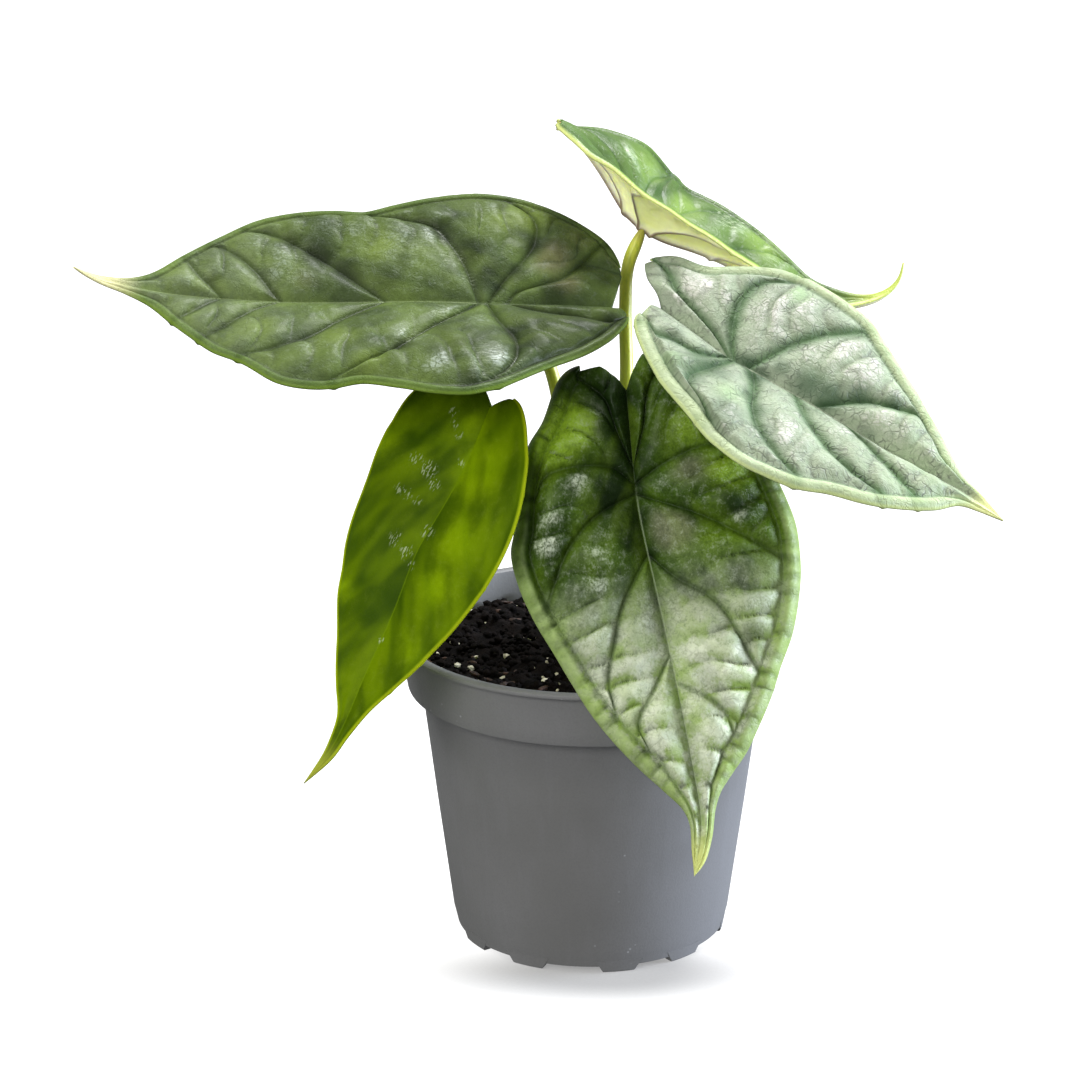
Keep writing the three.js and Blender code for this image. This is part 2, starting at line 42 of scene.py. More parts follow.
# A dragon scale alocasia with five leaves in a grey nursery pot. Sizes in the dictionaries are millimetres.


def colorOf(text):  # "#rrggbb" as a linear colour
    parts = [int(text[i:i + 2], 16) / 255 for i in (1, 3, 5)]
    return (*(c / 12.92 if c <= 0.04045 else ((c + 0.055) / 1.055) ** 2.4 for c in parts), 1.0)


class Wire:  # a node's output that Python's operators work on
    def __init__(self, paint, socket):
        self.paint = paint
        self.socket = socket

    def math(self, operation, *others):
        return self.paint.node("Math", {"operation": operation}, dict(enumerate([self, *others])))

    def __add__(self, other):
        return self.math("ADD", other)

    def __sub__(self, other):
        return self.math("SUBTRACT", other)

    def __mul__(self, other):
        return self.math("MULTIPLY", other)

    def __rsub__(self, other):
        return self.math("MULTIPLY_ADD", -1, other)

    __radd__, __rmul__ = __add__, __mul__

    def smooth(self, low, high):  # 0 below low, 1 above high
        return self.paint.node("MapRange", {"interpolation_type": "SMOOTHSTEP"},
                               {"Value": self, "From Min": low, "From Max": high})


class Paint:  # one material and its nodes
    def __init__(self, name):
        self.material = bpy.data.materials.new(name)
        self.material.use_nodes = True
        self.tree = self.material.node_tree
        self.tree.nodes.clear()

    def node(self, kind, settings=None, values=None, output=0):
        made = self.tree.nodes.new("ShaderNode" + kind)
        for key, value in (settings or {}).items():
            setattr(made, key, value)
        for key, value in (values or {}).items():
            if isinstance(value, Wire):
                self.tree.links.new(value.socket, made.inputs[key])
            else:
                made.inputs[key].default_value = colorOf(value) if isinstance(value, str) else value
        return Wire(self, made.outputs[output]) if len(made.outputs) else None

    def attribute(self, name, output="Fac"):
        return self.node("Attribute", {"attribute_name": name}, output=output)

    def place(self, stretch=None):  # the spot on the piece in metres
        spot = self.node("TexCoord", output="Object")
        return self.node("Mapping", None, {"Vector": spot, "Scale": stretch}) if stretch else spot

    def noise(self, vector, scale, detail=3.0, roughness=0.5, output=0):
        return self.node("TexNoise", None, {"Vector": vector, "Scale": scale, "Detail": detail,
                                            "Roughness": roughness}, output)

    def layers(self, color, rows):  # every row goes over the last: its share, its colour and how it blends
        for share, over, *blend in rows:
            kinds = {"data_type": "RGBA", "blend_type": blend[0] if blend else "MIX"}
            color = self.node("Mix", kinds, {0: share, 6: color, 7: over}, 2)
        return color

    def finish(self, color, rough, relief=None, more=None):  # relief is (height, strength, distance)
        values = {"Base Color": color, "Roughness": rough, **(more or {})}
        if relief:
            values["Normal"] = self.node("Bump", None, dict(zip(("Height", "Strength", "Distance"), relief)))
        shader = self.node("BsdfPrincipled", None, values)
        self.node("OutputMaterial", None, {"Surface": shader})
        return self.material


lightThrough = {"Subsurface Radius": (1.0, 1.1, 0.4), "Subsurface Scale": 0.002}


def makeObject(bm, name, materials=(), smooth=True):
    data = bpy.data.meshes.new(name)
    bm.to_mesh(data)
    bm.free()
    made = bpy.data.objects.new(name, data)
    bpy.context.scene.collection.objects.link(made)
    for material in materials:
        data.materials.append(material)
    if smooth:
        data.shade_smooth()
    return made


def gridSpots(made, columns, rows):  # the grid column and row of every vertex, and whether it was lifted
    flat = np.empty(len(made.data.vertices) * 3, np.float32)
    made.data.vertices.foreach_get("co", flat)
    x, y, z = flat.reshape(-1, 3).astype(float).T
    return np.rint((x + 0.5) * columns).astype(int), np.rint((y + 0.5) * rows).astype(int), z > 0.5


def writeLayer(made, name, values):  # a value or a vector for every vertex
    kind = "FLOAT_VECTOR" if values.ndim > 1 else "FLOAT"
    layer = made.data.attributes.new(name, kind, "POINT")
    layer.data.foreach_set("vector" if values.ndim > 1 else "value", values.astype(np.float32).ravel())


def weld(made, spots):  # puts the vertices in place, closes seams and poles and turns the faces outwards
    made.data.vertices.foreach_set("co", (spots * mm).astype(np.float32).ravel())
    bm = bmesh.new()
    bm.from_mesh(made.data)
    bmesh.ops.remove_doubles(bm, verts=bm.verts[:], dist=0.02 * mm)
    bmesh.ops.holes_fill(bm, edges=[edge for edge in bm.edges if edge.is_boundary], sides=0)
    bmesh.ops.recalc_face_normals(bm, faces=bm.faces[:])
    bm.to_mesh(made.data)
    bm.free()


def spinProfile(settings):  # a closed body of revolution
    bm = bmesh.new()
    ring = [bm.verts.new((r * mm, 0, z * mm)) for r, z in settings["profile"]]
    edges = [bm.edges.new(pair) for pair in zip(ring[:-1], ring[1:])]
    bmesh.ops.spin(bm, geom=ring + edges, cent=(0, 0, 0), axis=(0, 0, 1), angle=math.tau,
                   steps=settings["steps"], use_merge=True)
    bmesh.ops.remove_doubles(bm, verts=bm.verts[:], dist=0.01 * mm)
    bmesh.ops.recalc_face_normals(bm, faces=bm.faces[:])
    return bm


def unit(vectors):
    return vectors / np.linalg.norm(vectors, axis=-1, keepdims=True)


def readTable(x, knots, table):  # straight between the rows of a table
    return np.stack([np.interp(x, knots, column) for column in table.T], -1)


def readCurve(x, knots, values, slope):  # smooth between them
    i = np.clip(np.searchsorted(knots, x, side="right") - 1, 0, len(knots) - 2)
    h = (knots[i + 1] - knots[i])[:, None]
    u = (x - knots[i])[:, None] / h
    w = 1 - u
    return (values[i] * (1 + 2 * u) * w * w + slope[i] * h * u * w * w
            + values[i + 1] * u * u * (3 - 2 * u) - slope[i + 1] * h * u * u * w)


def easeRows(rows, x):  # smooth curve through rows (x, v1, v2...), level past its ends, never overshooting
    table = np.array(rows, float)
    x = np.asarray(x, float)
    if len(table) == 1:
        return np.repeat(table[0, 1:][:, None], x.size, 1).reshape((-1,) + x.shape)
    knots, values = table[:, 0], table[:, 1:]
    gaps = np.diff(knots)[:, None]
    rise = np.diff(values, axis=0) / gaps
    slope = np.vstack([rise[:1], np.zeros_like(rise[1:]), rise[-1:]])
    first, second = 2 * gaps[1:] + gaps[:-1], gaps[1:] + 2 * gaps[:-1]
    with np.errstate(divide="ignore", invalid="ignore"):
        harmonic = (first + second) / (first / rise[:-1] + second / rise[1:])
    slope[1:-1] = np.where(rise[:-1] * rise[1:] > 0, harmonic, 0)
    flat = np.clip(x.ravel(), knots[0], knots[-1])
    return readCurve(flat, knots, values, slope).T.reshape((-1,) + x.shape)


def threadPoints(points, count):  # evenly spaced points on a smooth curve through the given ones
    points = np.array(points, float)
    chord = np.sqrt(np.linalg.norm(np.diff(points, axis=0), axis=1))[:, None] + 1e-6
    knots = np.concatenate([[0], np.cumsum(chord)])
    rise = np.diff(points, axis=0) / chord
    middle = (rise[:-1] * chord[1:] + rise[1:] * chord[:-1]) / (chord[1:] + chord[:-1])
    x = np.linspace(0, knots[-1], max(count * 6, 400))
    fine = readCurve(x, knots, points, np.vstack([rise[:1], middle, rise[-1:]]))
    run = np.concatenate([[0], np.cumsum(np.linalg.norm(np.diff(fine, axis=0), axis=1))])
    return readTable(np.linspace(0, run[-1], count), run, fine)


def ripples(x, y, wavelength, seed, waves=14):  # smooth random waves, about -1 to 1
    source = random.Random(seed)
    total = np.zeros_like(x)
    for _ in range(waves):
        angle, phase = source.uniform(0, math.tau), source.uniform(0, math.tau)
        k = math.tau / (wavelength * source.uniform(0.7, 1.6))
        total += np.sin(k * (x * math.cos(angle) + y * math.sin(angle)) + phase)
    return total / math.sqrt(waves) * 0.8


# The leaves. p runs along the midrib from the stalk's junction to the tip, q across. Outlines go from the
# basal notch round the lobe to the drip tip. Ribs are {share of the rows: points}: one starts on the midrib,
# where spine says for that share, and its last point lies on the margin. A blot is (p, q, radius, strength).
# Dark blots paint shade, partly over dark tissue; sheen blots paint highlights over the leaf's silver.
leftLeaf = {
    "junction": (-31.6, -14, 199), "toTip": (-1, -0.08, 0.06), "upward": (0, -0.42, 0.9),
    "bend": [(-30, 6), (0, 2), (30, -4), (80, 1), (105, 16), (122, 42)],
    "yaw": [(-20, -6), (-2, -4), (4, 0), (45, 0), (60, 3), (98, 3), (108, -4)],
    "fold": [(0, 8, 8)],
    "right": [(-38, 0), (-39, 4), (-41.5, 9), (-43, 17), (-41, 25), (-36, 31), (-27, 37.5), (-18, 41.5),
        (-9, 43.5), (2, 44), (14, 42), (26, 38.5), (34, 36), (42, 36.5), (55, 36), (67, 32.5), (78, 25),
        (88, 16.5), (96.5, 8), (103, 4), (111, 2), (121, 0)],
    "left": [(-38, 0), (-41, 2), (-42, 5), (-37, 13.5), (-29, 21), (-15, 31), (-4, 39), (5, 45), (15, 45.5),
        (26, 42.5), (36, 40), (44, 42), (50, 42.5), (58.5, 40), (69, 32), (77, 27), (83, 21), (90, 14),
        (97, 6), (104, 3), (111, 1.8), (121, 0)],
    "spine": [(0, -38), (0.12, -7), (0.25, -1), (0.4, 2), (0.57, 29), (0.72, 59), (0.84, 76), (1, 121)],
    "ribsRight": {0.12: [(-10, 4), (-23, 9), (-29, 14), (-38, 24), (-41, 25)],
        0.25: [(-7, 9), (-13, 16), (-17, 22), (-19, 30), (-18, 34), (-12, 43)],
        0.4: [(5, 12), (9, 21), (14, 28), (22, 31), (33, 36.3)],
        0.57: [(37, 7), (49, 17), (64, 26), (72, 29)], 0.72: [(68, 12), (78, 20), (82, 22)],
        0.84: [(84, 9), (89, 15.5)]},
    "ribsLeft": {0.12: [(-16, 5), (-28, 8), (-36, 9), (-40.5, 8)],
        0.25: [(-3, 11), (-6, 19), (-5, 30), (0, 42)], 0.4: [(6, 5), (15, 14), (27, 27), (33, 31), (44, 42)],
        0.57: [(42, 11), (51, 20), (63, 27), (70, 31)], 0.72: [(66, 6), (75, 16), (82, 22)],
        0.84: [(84, 9), (90, 14)]},
    "shadeAndDark": [(48, 17, 6, 0.9), (57, 22, 5, 0.8), (39, 10, 6, 0.8), (28, 6, 5, 0.7), (12, 26, 5, 0.7),
        (4, 18, 6, 0.9), (-4, 10, 6, 0.9), (18, 32, 4, 0.6), (-17, 21, 4, 0.7), (-10, 10, 5, 0.7),
        (-31, 14, 4, 0.6), (-20, 2, 6, 0.8), (-36, 8, 4, 0.6), (-8, -18, 6, 0.9), (-16, -28, 7, 0.8),
        (-29, -12, 6, 0.6), (-36, -8, 5, 0.8), (24, -26, 4, 0.8), (12, -18, 4, 0.7), (62, 2, 3, 0.7),
        (79, 6, 3, 0.6), (59, -28, 5, 0.5), (36, -8, 4, 0.6), (-10, -20, 9, 0.8), (-18, -22, 8, 0.8),
        (-14, -12, 12, 0.7), (6, -40, 6, 0.5), (8, -24, 15, 0.5), (40, -20, 14, 0.35), (-20, -14, 14, 0.8),
        (6, -42, 6, 0.6), (70, -14, 10, 0.3)],
    "sheen": [(46, 28, 5, 0.4), (38, 26, 4, 0.7), (15, 24, 5, 0.8), (9, 16, 4, 0.9), (5, 8, 3, 0.8),
        (-3, 36, 5, 0.6), (11, -8, 5, 0.9), (22, -21, 5, 0.9), (15, -35, 4, 0.9), (0, -32, 6, 1),
        (2, -38, 5, 0.9), (2, -12, 5, 0.5), (50, -26, 4, 0.7), (72, 15, 7, 0.3), (60, 12, 10, 0.3),
        (22, 22, 15, 0.45), (58, 14, 14, 0.5), (84, 6, 8, 0.4)],
    "fresh": [(30, 20, 7, 0.8), (18, 18, 5, 0.4), (-16, 34, 7, 0.9), (-8, 30, 5, 0.7), (10, -26, 6, 0.6),
        (43, -22, 7, 0.6), (66, -16, 8, 0.6), (34, -33, 6, 0.6)],
    "warm": [(-22, 16, 8, 1), (-32, 24, 8, 0.5), (-24, 8, 6, 0.9), (52, 7, 6, 0.4)],
    "band": 2.8, "puff": 2.7, "puffWidth": 5.0, "cross": 1.1, "crossLength": 10.0, "roll": 0.8, "arch": 1.0,
    "crinkle": 0.14, "beads": 0.3, "beadLength": 9, "wave": 0.5, "rows": 288, "columns": 60,
}
rightLeaf = {
    "junction": (41, -28, 185.5), "toTip": (0.84, -0.39, -0.39), "upward": (0.17, -0.5, 0.85),
    "bend": [(-40, 6), (0, 2), (50, -4), (90, -6)],
    "yaw": [(-8, 12), (4, 0), (45, 0), (58, -7), (70, -7), (80, 1)],
    "fold": [(0, 10, 10)],
    "right": [(-28.5, 0), (-31, 3), (-31.8, 8), (-27.5, 13.5), (-19, 19.5), (-9, 25), (-1.5, 29), (4.5, 33),
        (12.5, 37.5), (22, 40), (31, 38), (38.5, 35.5), (47, 30), (54, 26), (63, 19.5), (71.5, 12), (77, 5),
        (82, 2.5), (89.5, 0)],
    "left": [(-28.5, 0), (-34, 3), (-40, 5.5), (-43.5, 8.5), (-44.8, 12.5), (-40.5, 18), (-31.5, 21.5),
        (-26, 27), (-20, 32), (-12.5, 36.5), (-3, 38.5), (6, 38.5), (16, 37.5), (24, 36), (31, 32),
        (41, 26.5), (56, 19), (67, 10.5), (74, 5), (81, 3), (89.5, 0)],
    "spine": [(0, -28.5), (0.12, -3), (0.25, -1), (0.4, 4), (0.57, 20), (0.72, 35), (0.84, 50), (1, 89.5)],
    "ribsRight": {0.12: [(-9, 8), (-17, 10), (-22, 12), (-29, 12)],
        0.25: [(-3, 10), (-4, 19), (0, 27), (4, 33)],
        0.42: [(9, 6), (14, 17), (20, 24), (28, 29), (38, 35.5)],
        0.57: [(27, 8), (34, 13), (42, 17), (58, 23)], 0.73: [(46, 4), (54, 8), (67, 16)]},
    "ribsLeft": {0.12: [(-11, 3), (-23, 5.5), (-30, 7), (-37, 11), (-44, 11)],
        0.25: [(-10, 10), (-14, 18), (-14, 27), (-9, 37.3)],
        0.4: [(8, 9), (11, 15), (16, 22), (22, 28), (27, 34)],
        0.64: [(31, 4), (38, 10), (45, 13), (52, 15.5), (58, 17.7)]},
    "shadeAndDark": [(2, -1, 4, 0.8), (8, 2, 5, 0.8), (12, -5, 4, 0.6), (22, -5, 7, 0.8), (28, -4, 6, 0.9),
        (35, -10, 5, 0.7), (44, -14, 4, 0.6), (-16, 10, 5, 0.6), (-6, 10, 6, 0.7), (0, 12, 5, 0.6),
        (16, 17, 4, 0.6), (10, 14, 4, 0.5), (-10, -10, 3, 0.6), (-13, -16, 3, 0.4), (28, 3, 4, 0.5),
        (44, 0, 4, 0.5), (45, 17, 3, 0.4), (-32, 0, 3, 0.4), (9, 27, 9, 0.5), (22, 26, 7, 0.4),
        (-7, 17, 8, 0.5), (31, 24, 6, 0.3)],
    "sheen": [(-25, -14, 8, 0.9), (-26, -8, 6, 0.7), (0, -20, 9, 1), (6, -26, 7, 0.7), (1, -8, 4, 0.6),
        (24, -20, 8, 1), (35, -18, 7, 0.9), (20, -14, 5, 0.7), (26, 21, 8, 0.8), (10, 26, 5, 0.4),
        (38, 5, 6, 0.7), (44, -7, 6, 0.8), (54, 0, 6, 0.5)],
    "fresh": [(2, -30, 6, 0.5), (6, 19, 6, 0.4), (-10, 18, 5, 0.4), (34, -29, 5, 0.4)],
    "warm": [(-26, -10, 8, 0.5)],
    "band": 4.2, "puff": 2.8, "puffWidth": 5.0, "cross": 0.9, "crossLength": 9.0, "roll": 0.8, "arch": 1.0,
    "crinkle": 0.2, "beads": 0.25, "beadLength": 8, "wave": 0.5, "rows": 264, "columns": 56,
}
topLeaf = {
    "junction": (15.7, 30, 211.1), "toTip": (0.953, -0.02, -0.3), "upward": (0.1, 0.32, 0.94),
    "bend": [(-40, -16), (-24, -38), (-12, -43), (0, -19), (12, -1), (24, -8), (44, -14), (60, 14), (72, 32),
        (80, 58), (88, 98)],
    "yaw": [(0, 0)],
    "fold": [(-36, 8, -12), (-28, 25, -10), (-18, 37, 0), (2, 39, 10), (14, 36, 6), (28, 36, 2), (62, 44, 4)],
    "right": [(-36, 0), (-40, 4), (-41, 9), (-37, 17), (-28, 24), (-14, 28), (0, 29), (15, 27.5), (32, 22),
        (48, 15), (62, 9), (72, 5), (80, 2.5), (90, 0)],
    "left": [(-36, 0), (-40, 4), (-41, 10), (-37, 19), (-28, 27), (-14, 32), (0, 33), (15, 31), (32, 25),
        (48, 17), (62, 10), (72, 5), (80, 2.5), (90, 0)],
    "spine": [(0, -36), (0.12, -7), (0.25, -1), (0.4, 3), (0.57, 22), (0.72, 42), (0.84, 56), (1, 90)],
    "ribsRight": {0.12: [(-16, 5), (-28, 10), (-39.5, 12)], 0.25: [(-6, 8), (-10, 18), (-8, 28.5)],
        0.4: [(8, 9), (16, 18), (25, 24.5)], 0.57: [(30, 8), (40, 14), (50, 14.3)], 0.72: [(50, 5), (62, 9)]},
    "ribsLeft": {0.12: [(-16, 6), (-28, 11), (-39.5, 13)], 0.25: [(-7, 9), (-11, 20), (-8, 32.5)],
        0.4: [(8, 10), (16, 20), (25, 28)], 0.57: [(30, 9), (40, 15), (50, 16)], 0.72: [(50, 5), (62, 10)]},
    "shadeAndDark": [(-4, -18, 7, 0.8), (22, -20, 6, 0.9), (30, -8, 8, 0.6), (-30, -14, 6, 0.5)],
    "sheen": [(24, -20, 6, 0.9), (-20, -16, 6, 0.5), (40, -12, 6, 0.5)],
    "fresh": [(10, -16, 8, 0.8), (-14, -20, 8, 0.6), (34, -14, 8, 0.8)],
    "warm": [(0, 0, 3, 0.2)],
    "band": 3.0, "puff": 1.3, "puffWidth": 4.5, "cross": 0.6, "crossLength": 8.0, "roll": 0.9, "arch": 0.6,
    "crinkle": 0.08, "beads": 0.1, "beadLength": 8, "wave": 0.3, "rows": 240, "columns": 52,
}
youngLeaf = {
    "junction": (-37.5, -35, 155), "toTip": (-0.47, -0.25, -0.85), "upward": (-0.46, -0.75, 0.48),
    "bend": [(-24, 8), (0, 3), (40, -2), (80, 4), (101, 10)],
    "yaw": [(-8, -11), (4, 0), (20, 4), (34, -8), (58, -3), (72, -8), (84, -4), (94, 10)],
    "fold": [(-20, 6, 6), (40, 6, 6), (80, 10, 10)],
    "right": [(-20.5, 0), (-23.5, 2), (-26, 6), (-27, 12), (-24, 20), (-18, 25.5), (-7.5, 28), (6.5, 28),
        (17.5, 26), (24, 24.5), (30, 23), (38, 21), (47.5, 19), (60, 13), (71, 7.5), (79, 3.5), (88, 2),
        (101.5, 0)],
    "left": [(-20.5, 0), (-21, 2), (-22.5, 3), (-24, 4.5), (-24.8, 6.5), (-23, 10), (-18.5, 14),
        (-10.5, 18.5), (-3, 22), (3.5, 25), (10.5, 27), (17, 27.8), (25, 27.8), (32, 27), (42, 23),
        (51, 18.5), (59, 15), (67.5, 11), (76, 6), (84, 3), (91, 2), (101.5, 0)],
    "spine": [(0, -20.5), (0.12, -4), (0.25, 0), (0.4, 4), (0.57, 24), (0.72, 46), (0.84, 62), (1, 101.5)],
    "ribsRight": {0.12: [(-12, 6), (-20, 14), (-25, 17)], 0.25: [(-4, 8), (-7, 17), (-4, 28.2)],
        0.4: [(9, 8), (16, 15), (26, 24)], 0.57: [(32, 8), (44, 14), (54, 16)], 0.72: [(56, 6), (66, 10)]},
    "ribsLeft": {0.12: [(-12, 4), (-19, 8), (-23.5, 9)], 0.25: [(-3, 8), (-5, 16), (-1, 23)],
        0.4: [(10, 8), (18, 16), (28, 27.4)], 0.57: [(33, 8), (44, 15), (55, 17)], 0.72: [(56, 6), (67, 11)]},
    "shadeAndDark": [(18, 16, 9, 0.8), (-4, 17, 6, 0.7), (6, 6, 6, 0.5), (34, 12, 10, 0.8), (30, 3, 7, 0.8),
        (-9, 15, 6, 0.6), (58, 10, 7, 0.6), (17, 2, 7, 0.6), (42, 0, 8, 0.7), (50, 6, 6, 0.6)],
    "sheen": [(-16, 10, 1.5, 0.9), (-13, 8, 1.5, 0.9), (-10, 6, 1.5, 0.8), (3, 15, 2.2, 0.9),
        (4, 10, 2.8, 0.9), (7, 6, 2.2, 0.8), (-2, 2, 1.4, 0.9), (14, 15, 1.6, 1), (14, 12, 1.8, 1),
        (14, 8, 1.5, 0.8), (26, 8, 2.2, 0.8), (20, 0, 2.2, 0.9), (28, 3, 2.4, 0.7), (31, 0, 1.8, 0.6),
        (54, 0, 1.2, 0.8)],
    "fresh": [(4, 30, 8, 0.6), (-2, -5, 9, 0.9), (45, 18, 5, 0.7), (17, -11, 8, 0.7), (34, -12, 7, 0.7),
        (53, -11, 6, 0.6), (-13, 2, 5, 0.7)],
    "warm": [(60, 0, 8, 0.3)],
    "band": 1.6, "puff": 0.15, "puffWidth": 3.5, "cross": 0.04, "crossLength": 12.0, "roll": 0.4, "arch": 0.6,
    "crinkle": 0.04, "beads": 0.0, "beadLength": 8, "wave": 0.2, "rows": 220, "columns": 44,
}
frontLeaf = {
    "junction": (12, -36, 150.5), "toTip": (0.15, -0.47, -0.876), "upward": (0, -0.88, 0.47),
    "bend": [(-30, 2), (0, 1), (40, -1), (90, 2), (110, 6)],
    "yaw": [(-8, 4), (4, 0), (20, -4), (50, -3), (90, -1), (104, 14), (114, 24)],
    "fold": [(-30, 4, 4), (60, 2, 2)],
    "right": [(-29, 0), (-31, 2), (-34, 5), (-36.5, 9), (-37.5, 13), (-36.5, 16.5), (-33.5, 19.5),
        (-29.5, 21.5), (-21.5, 25), (-15, 29.5), (-5, 33.5), (7, 36.5), (12, 38.5), (21.5, 38.3), (32.5, 36),
        (42, 32.7), (52, 29.3), (61, 26), (71, 21), (81, 14.5), (87.5, 9.5), (94, 5), (99, 3.3), (107, 2.2),
        (114.5, 0)],
    "left": [(-29, 0), (-31, 2), (-35, 3), (-38.5, 5), (-40, 9), (-39, 17), (-33, 26), (-24, 32.5),
        (-12, 37.5), (4, 41), (12, 42.5), (21, 43.5), (29.5, 42.7), (35.5, 41.5), (44, 38.6), (51, 35.5),
        (59, 30.5), (66.5, 26.3), (75, 20.5), (81, 16), (86, 11), (91, 6.5), (96, 4.2), (103, 3.2), (110, 2),
        (114.5, 0)],
    "spine": [(0, -29), (0.12, -6), (0.25, -1), (0.4, 2), (0.57, 20), (0.72, 44), (0.84, 62), (1, 114.5)],
    "ribsRight": {0.12: [(-17, 4), (-27, 7), (-37, 15)], 0.25: [(-6, 6), (-7, 18), (-5, 26), (-1, 34.6)],
        0.4: [(5, 9), (9, 16), (14, 22), (19, 26), (30, 36.6)],
        0.57: [(27, 6), (34, 11), (43, 15), (54, 19), (66, 23.5)], 0.76: [(58, 6), (68, 13), (79, 16)]},
    "ribsLeft": {0.12: [(-17, 4), (-27, 6), (-33, 9), (-39.5, 13)],
        0.25: [(-7, 11), (-10, 20), (-10, 27), (-8, 38.7)], 0.4: [(9, 13), (14, 20), (20, 27), (30, 42.5)],
        0.57: [(29, 7), (35, 14), (41, 18), (50, 21), (62, 28.6)], 0.82: [(65, 9), (70, 12.5), (79, 17.8)]},
    "shadeAndDark": [(-26, 5, 9, 1), (-18, 4, 8, 1), (-8, 3, 8, 1), (-1, 2, 6, 1), (9, 4, 6, 1), (16, 4, 4, 1),
        (2, 7, 8, 0.9), (6, 12, 6, 0.6), (11, 18, 5, 0.4), (11, -29, 7, 0.6), (28, -31, 7, 0.5),
        (49, -24, 6, 0.6), (12, -17, 4, 0.5), (20, 0, 3, 0.8), (-14, -8, 7, 0.5)],
    "sheen": [(-3, 16, 4, 0.6), (5, 26, 4, 0.6), (12, 29, 5, 0.7), (16, 14, 5, 0.5), (26, 16, 5, 0.5),
        (39, 20, 5, 0.7), (49, 20, 5, 0.8), (38, 2, 6, 0.8), (48, 3, 6, 0.9), (54, 10, 4, 0.9),
        (58, 3, 5, 0.9), (71, 4, 6, 0.8), (58, -7, 5, 0.8), (34, -22, 4, 0.6), (46, -25, 5, 0.6),
        (40, -32, 4, 0.6), (15, -28, 3, 0.6), (68, -10, 6, 0.8), (0, -7, 4, 0.4), (80, 0, 8, 0.8)],
    "fresh": [(-19, 17, 8, 1), (-14, 23, 8, 0.9), (-15, -16, 7, 0.5), (-2, -28, 9, 0.6), (22, -24, 8, 0.3),
        (32, -31, 6, 0.3), (20, -19, 6, 0.3), (36, 28, 6, 0.5), (48, 12, 5, 0.6), (62, 10, 6, 0.6),
        (75, -8, 6, 0.6), (61, -15, 6, 0.6)],
    "warm": [(14, -8, 8, 1), (-4, -16, 7, 0.7), (40, -8, 7, 0.7), (62, -10, 5, 0.4)],
    "band": 5.4, "puff": 3.6, "puffWidth": 4.2, "cross": 2.4, "crossLength": 8.5, "roll": 2.0, "arch": 2.0,
    "crinkle": 0.14, "beads": 1.1, "beadLength": 7, "wave": 0.6, "rows": 276, "columns": 60,
}
leafSettings = {"left": leftLeaf, "right": rightLeaf, "top": topLeaf, "young": youngLeaf, "front": frontLeaf}

# What all blades have in common. shelter keeps rows clear of the margin's band: most millimetres, share of
# the width and where it is in full. Wavelengths are in millimetres.
bladeForm = {
    "outlinePoints": 900, "ribPoints": 160, "bandShare": 0.84, "bandMost": 0.42, "fullRim": 4, "edgeReach": 3,
    "shelter": (3.5, 0.8, 0.04), "strayWave": 16, "crinkleWave": 5.0, "slowWave": 34, "archEase": 12,
    "thick": 0.85, "edgeThinner": 0.42, "edgeWidth": 2.2, "keel": 1.5, "keelWidth": 1.5, "cord": 0.55,
    "cordWidth": 0.9,
}
blotKinds = ("shadeAndDark", "sheen", "fresh", "warm")
leafLayers = ("vein", "rim", "collector", "puff", "folds", *blotKinds)


class LeafSheet:  # the curved sheet that a blade follows
    def __init__(self, leaf):
        self.leaf = leaf
        self.forward = unit(np.array(leaf["toTip"], float))
        up = np.array(leaf["upward"], float)
        self.up = unit(up - self.forward * (up @ self.forward))
        self.side = np.cross(self.forward, self.up)
        back = 60
        self.steps = np.arange(-back, int(leaf["spine"][-1][1]) + 6)
        tangent = self.directions(self.steps[:-1] + 0.5)[0]
        run = np.vstack([np.zeros(3), np.cumsum(tangent, 0)])
        self.points = run - run[back] + leaf["junction"]

    def directions(self, p):
        bend = np.radians(easeRows(self.leaf["bend"], p)[0])[..., None]
        yaw = np.radians(easeRows(self.leaf["yaw"], p)[0])[..., None]
        level = np.cos(yaw) * self.forward + np.sin(yaw) * self.side
        tangent = np.cos(bend) * level + np.sin(bend) * self.up
        normal = np.cos(bend) * self.up - np.sin(bend) * level
        return tangent, normal, np.cos(yaw) * self.side - np.sin(yaw) * self.forward

    def place(self, p, q):
        folds = easeRows(self.leaf["fold"], p)
        _, normal, across = self.directions(p)
        fold = np.radians(np.where(q > 0, folds[1], folds[0])) * np.tanh(np.abs(q) / 4)
        return (readTable(p, self.steps, self.points) + (q * np.cos(fold))[..., None] * across
                + (np.abs(q) * np.sin(fold))[..., None] * normal)


